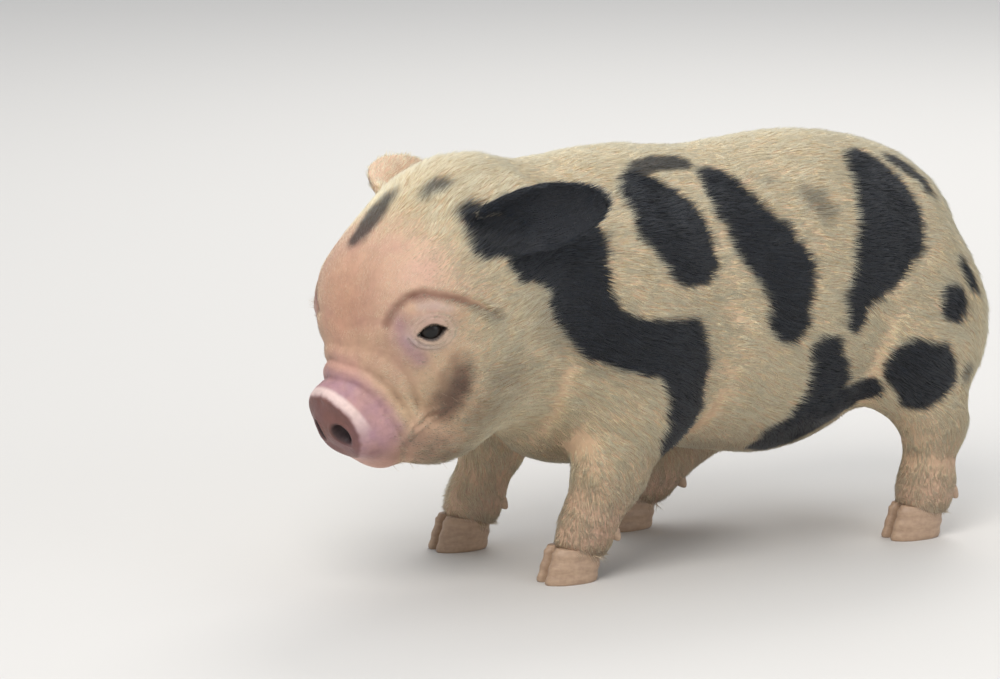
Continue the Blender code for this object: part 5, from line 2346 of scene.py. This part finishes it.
@dataclass(frozen=True)
class EyeFinish:
    """A near-black pupil in a dark brown iris, a grey-brown white, and a wet surface."""

    pupil: Colour = paint(6, 5, 6)
    iris: Colour = paint(22, 14, 11)
    edge: Colour = paint(12, 9, 8)
    white: Colour = paint(70, 54, 48)
    iris_size: float = 4.0 * MM
    pupil_size: float = 1.9 * MM

    def build(self) -> bpy.types.Material:
        """Makes the material.

        Returns:
            The material.
        """
        board = Board(
            "wet_eye", specular_ior_level=0.30, coat_weight=0.18, coat_roughness=0.08, roughness=0.30
        )
        ring, slot = board.radius((1, 1, 0)), board.radius((0.72, 1.15, 0))
        streaks = board.noise(0.5 * MM, 2)
        opening = board.ramp(slot, 0.85 * self.pupil_size, 1.1 * self.pupil_size)
        colour = board.mixed(self.pupil, self.iris, opening)
        colour = board.shaded(colour, streaks * 0.8 + 0.6)
        colour = board.mixed(colour, self.edge, board.ramp(ring, 0.82 * self.iris_size, self.iris_size))
        colour = board.mixed(colour, self.white, board.ramp(ring, self.iris_size, 1.22 * self.iris_size))
        board.feed("Base Color", colour)
        return board.material


@dataclass(frozen=True)
class HornFinish:
    """Pale brown horn with faint growth rings and scuffs."""

    light: Colour = paint(186, 158, 132)
    dark: Colour = paint(162, 134, 112)

    def build(self) -> bpy.types.Material:
        """Makes the material.

        Returns:
            The material.
        """
        board = Board("hoof_horn", specular_ior_level=0.5)
        rings = board.noise(1.6 * MM, 2, (0.3, 0.3, 1.2))
        scuffs = board.noise(1.6 * MM, 5)
        worn = board.ramp(rings * 0.5 + scuffs * 0.5, 0.25, 0.75)
        board.feed("Base Color", board.mixed(self.dark, self.light, worn))
        board.feed("Roughness", 0.38 + scuffs * 0.22)
        board.bump(rings + scuffs * 0.4, 0.12 * MM, 0.8)
        return board.material


@dataclass(frozen=True)
class LashFinish:
    """Straw-coloured lashes with pale tips."""

    root: Colour = paint(120, 92, 70)
    tip: Colour = paint(222, 204, 180)

    def build(self) -> bpy.types.Material:
        """Makes the material.

        Returns:
            The material.
        """
        board = Board("lash_hair", specular_ior_level=0.3, roughness=0.55)
        board.feed("Base Color", board.mixed(self.root, self.tip, board.value("along")))
        return board.material


@dataclass
class Studio:
    """Plain pale floor, soft light and a camera at the photograph's angle."""

    azimuth: float = math.radians(62)
    elevation: float = math.radians(11)
    distance: float = 2.0
    pixels_per_metre: float = 2350.0
    image_width: int = 1000
    image_height: int = 679
    origin_pixel: tuple[float, float] = (715.0, 538.0)
    sensor: float = 36.0
    floor_reach: float = 6.0
    floor_colour: Colour = paint(208, 206, 203)

    def build(self) -> None:
        """Sets the floor, the lights and the camera."""
        self.floor()
        self.lights()
        self.camera()

    def floor(self) -> None:
        """A wide, flat, plain floor."""
        model, mesh = bmesh.new(), bpy.data.meshes.new("studio_floor")
        bmesh.ops.create_grid(model, x_segments=8, y_segments=8, size=self.floor_reach)
        model.to_mesh(mesh)
        model.free()
        floor = placed("studio_floor", mesh)
        board = Board("studio_floor", roughness=0.9, specular_ior_level=0.2)
        board.feed("Base Color", self.floor_colour)
        mesh.materials.append(board.material)

    def lights(self) -> None:
        """A large soft key, a fill, a rim light, a broad light overhead and an even surround."""
        scene = bpy.context.scene
        world = bpy.data.worlds.new("surround")
        world.use_nodes = True
        background = world.node_tree.nodes["Background"].inputs
        background["Color"].default_value = (0.90, 0.94, 1.0, 1)
        background["Strength"].default_value = 0.50
        scene.world = world
        rows = (
            ("key", (0.9, -0.9, 1.5), 1.1, 22.0, (1.0, 0.97, 0.93)),
            ("fill", (1.5, 0.8, 0.7), 1.2, 5.0, (0.93, 0.96, 1.0)),
            ("rim", (-1.0, 0.9, 1.3), 0.9, 12.0, (1.0, 0.98, 0.95)),
            ("overhead", (-0.4, 0.6, 3.0), 3.4, 36.0, (1.0, 0.99, 0.97)),
        )
        middle = Vector((0, 0, 0.09))
        for name, place, size, power, colour in rows:
            light = bpy.data.lights.new(name, "AREA")
            light.shape, light.size, light.energy, light.color = "DISK", size, power, colour
            lamp = placed(name, light)
            lamp.location = place
            lamp.rotation_euler = (middle - lamp.location).to_track_quat("-Z", "Y").to_euler()
        scene.view_settings.view_transform = "Standard"

    def camera(self) -> None:
        """A long lens at the photograph's height and angle, framed as the photograph is."""
        level, rise = math.cos(self.elevation), math.sin(self.elevation)
        back = Vector((math.sin(self.azimuth) * level, -math.cos(self.azimuth) * level, rise))
        right = Vector((math.cos(self.azimuth), math.sin(self.azimuth), 0))
        up = back.cross(right)
        aside = (self.image_width / 2 - self.origin_pixel[0]) / self.pixels_per_metre
        above = (self.origin_pixel[1] - self.image_height / 2) / self.pixels_per_metre
        target = right * aside + up * above + Vector(CAD_SHIFT)
        lens = bpy.data.cameras.new("camera")
        lens.sensor_width = self.sensor
        lens.lens = self.sensor * self.distance * self.pixels_per_metre / self.image_width
        camera = placed("camera", lens)
        camera.location = target + back * self.distance
        camera.rotation_euler = back.to_track_quat("Z", "Y").to_euler()
        bpy.context.scene.camera = camera


FLESH = ("head", "snout_disc", "neck", "torso", "ear_left", "ear_right", "tail")


def dress(piece: bpy.types.Object, finish: bpy.types.Material, slot: str, *nodes: str) -> None:
    """Gives a piece its finish and its place in the model.

    Args:
        piece: The piece.
        finish: Its material.
        slot: The record's material slot; not used.
        *nodes: The nodes that it stands for.
    """
    piece.data.materials.clear()
    piece.data.materials.append(finish)
    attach(piece, "root")
    if nodes:
        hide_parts(*nodes)
    log.info("%s: %d faces", piece.name, len(piece.data.polygons))


def main() -> None:
    """Builds the piglet and its studio."""
    logging.basicConfig(level=logging.INFO, format="%(message)s")
    Studio().build()
    markings = Markings()
    skin = Skin(markings)
    dress(skin.build(), SkinFinish().build(), "coat", *FLESH, *(leg.value for leg in Leg))
    coat_finish = CoatFinish().build()
    for piece in Coat(skin, markings).grow():
        dress(piece, coat_finish, "coat")
    eye_finish = EyeFinish().build()
    for name, side in (("left", 1), ("right", -1)):
        dress(EyeBall("eyeball_" + name, side).build(), eye_finish, "eye", "eye_" + name)
    dress(Lashes().build(skin), LashFinish().build(), "coat")
    horn = HornFinish().build()
    for leg in Leg:
        for label, side in (("inner", -leg.side), ("outer", leg.side)):
            for part in (Hoof(leg, label, side), Dewclaw(leg, label, side)):
                dress(part.build(), horn, "horn", part.node)


if __name__ == "__main__":
    main()
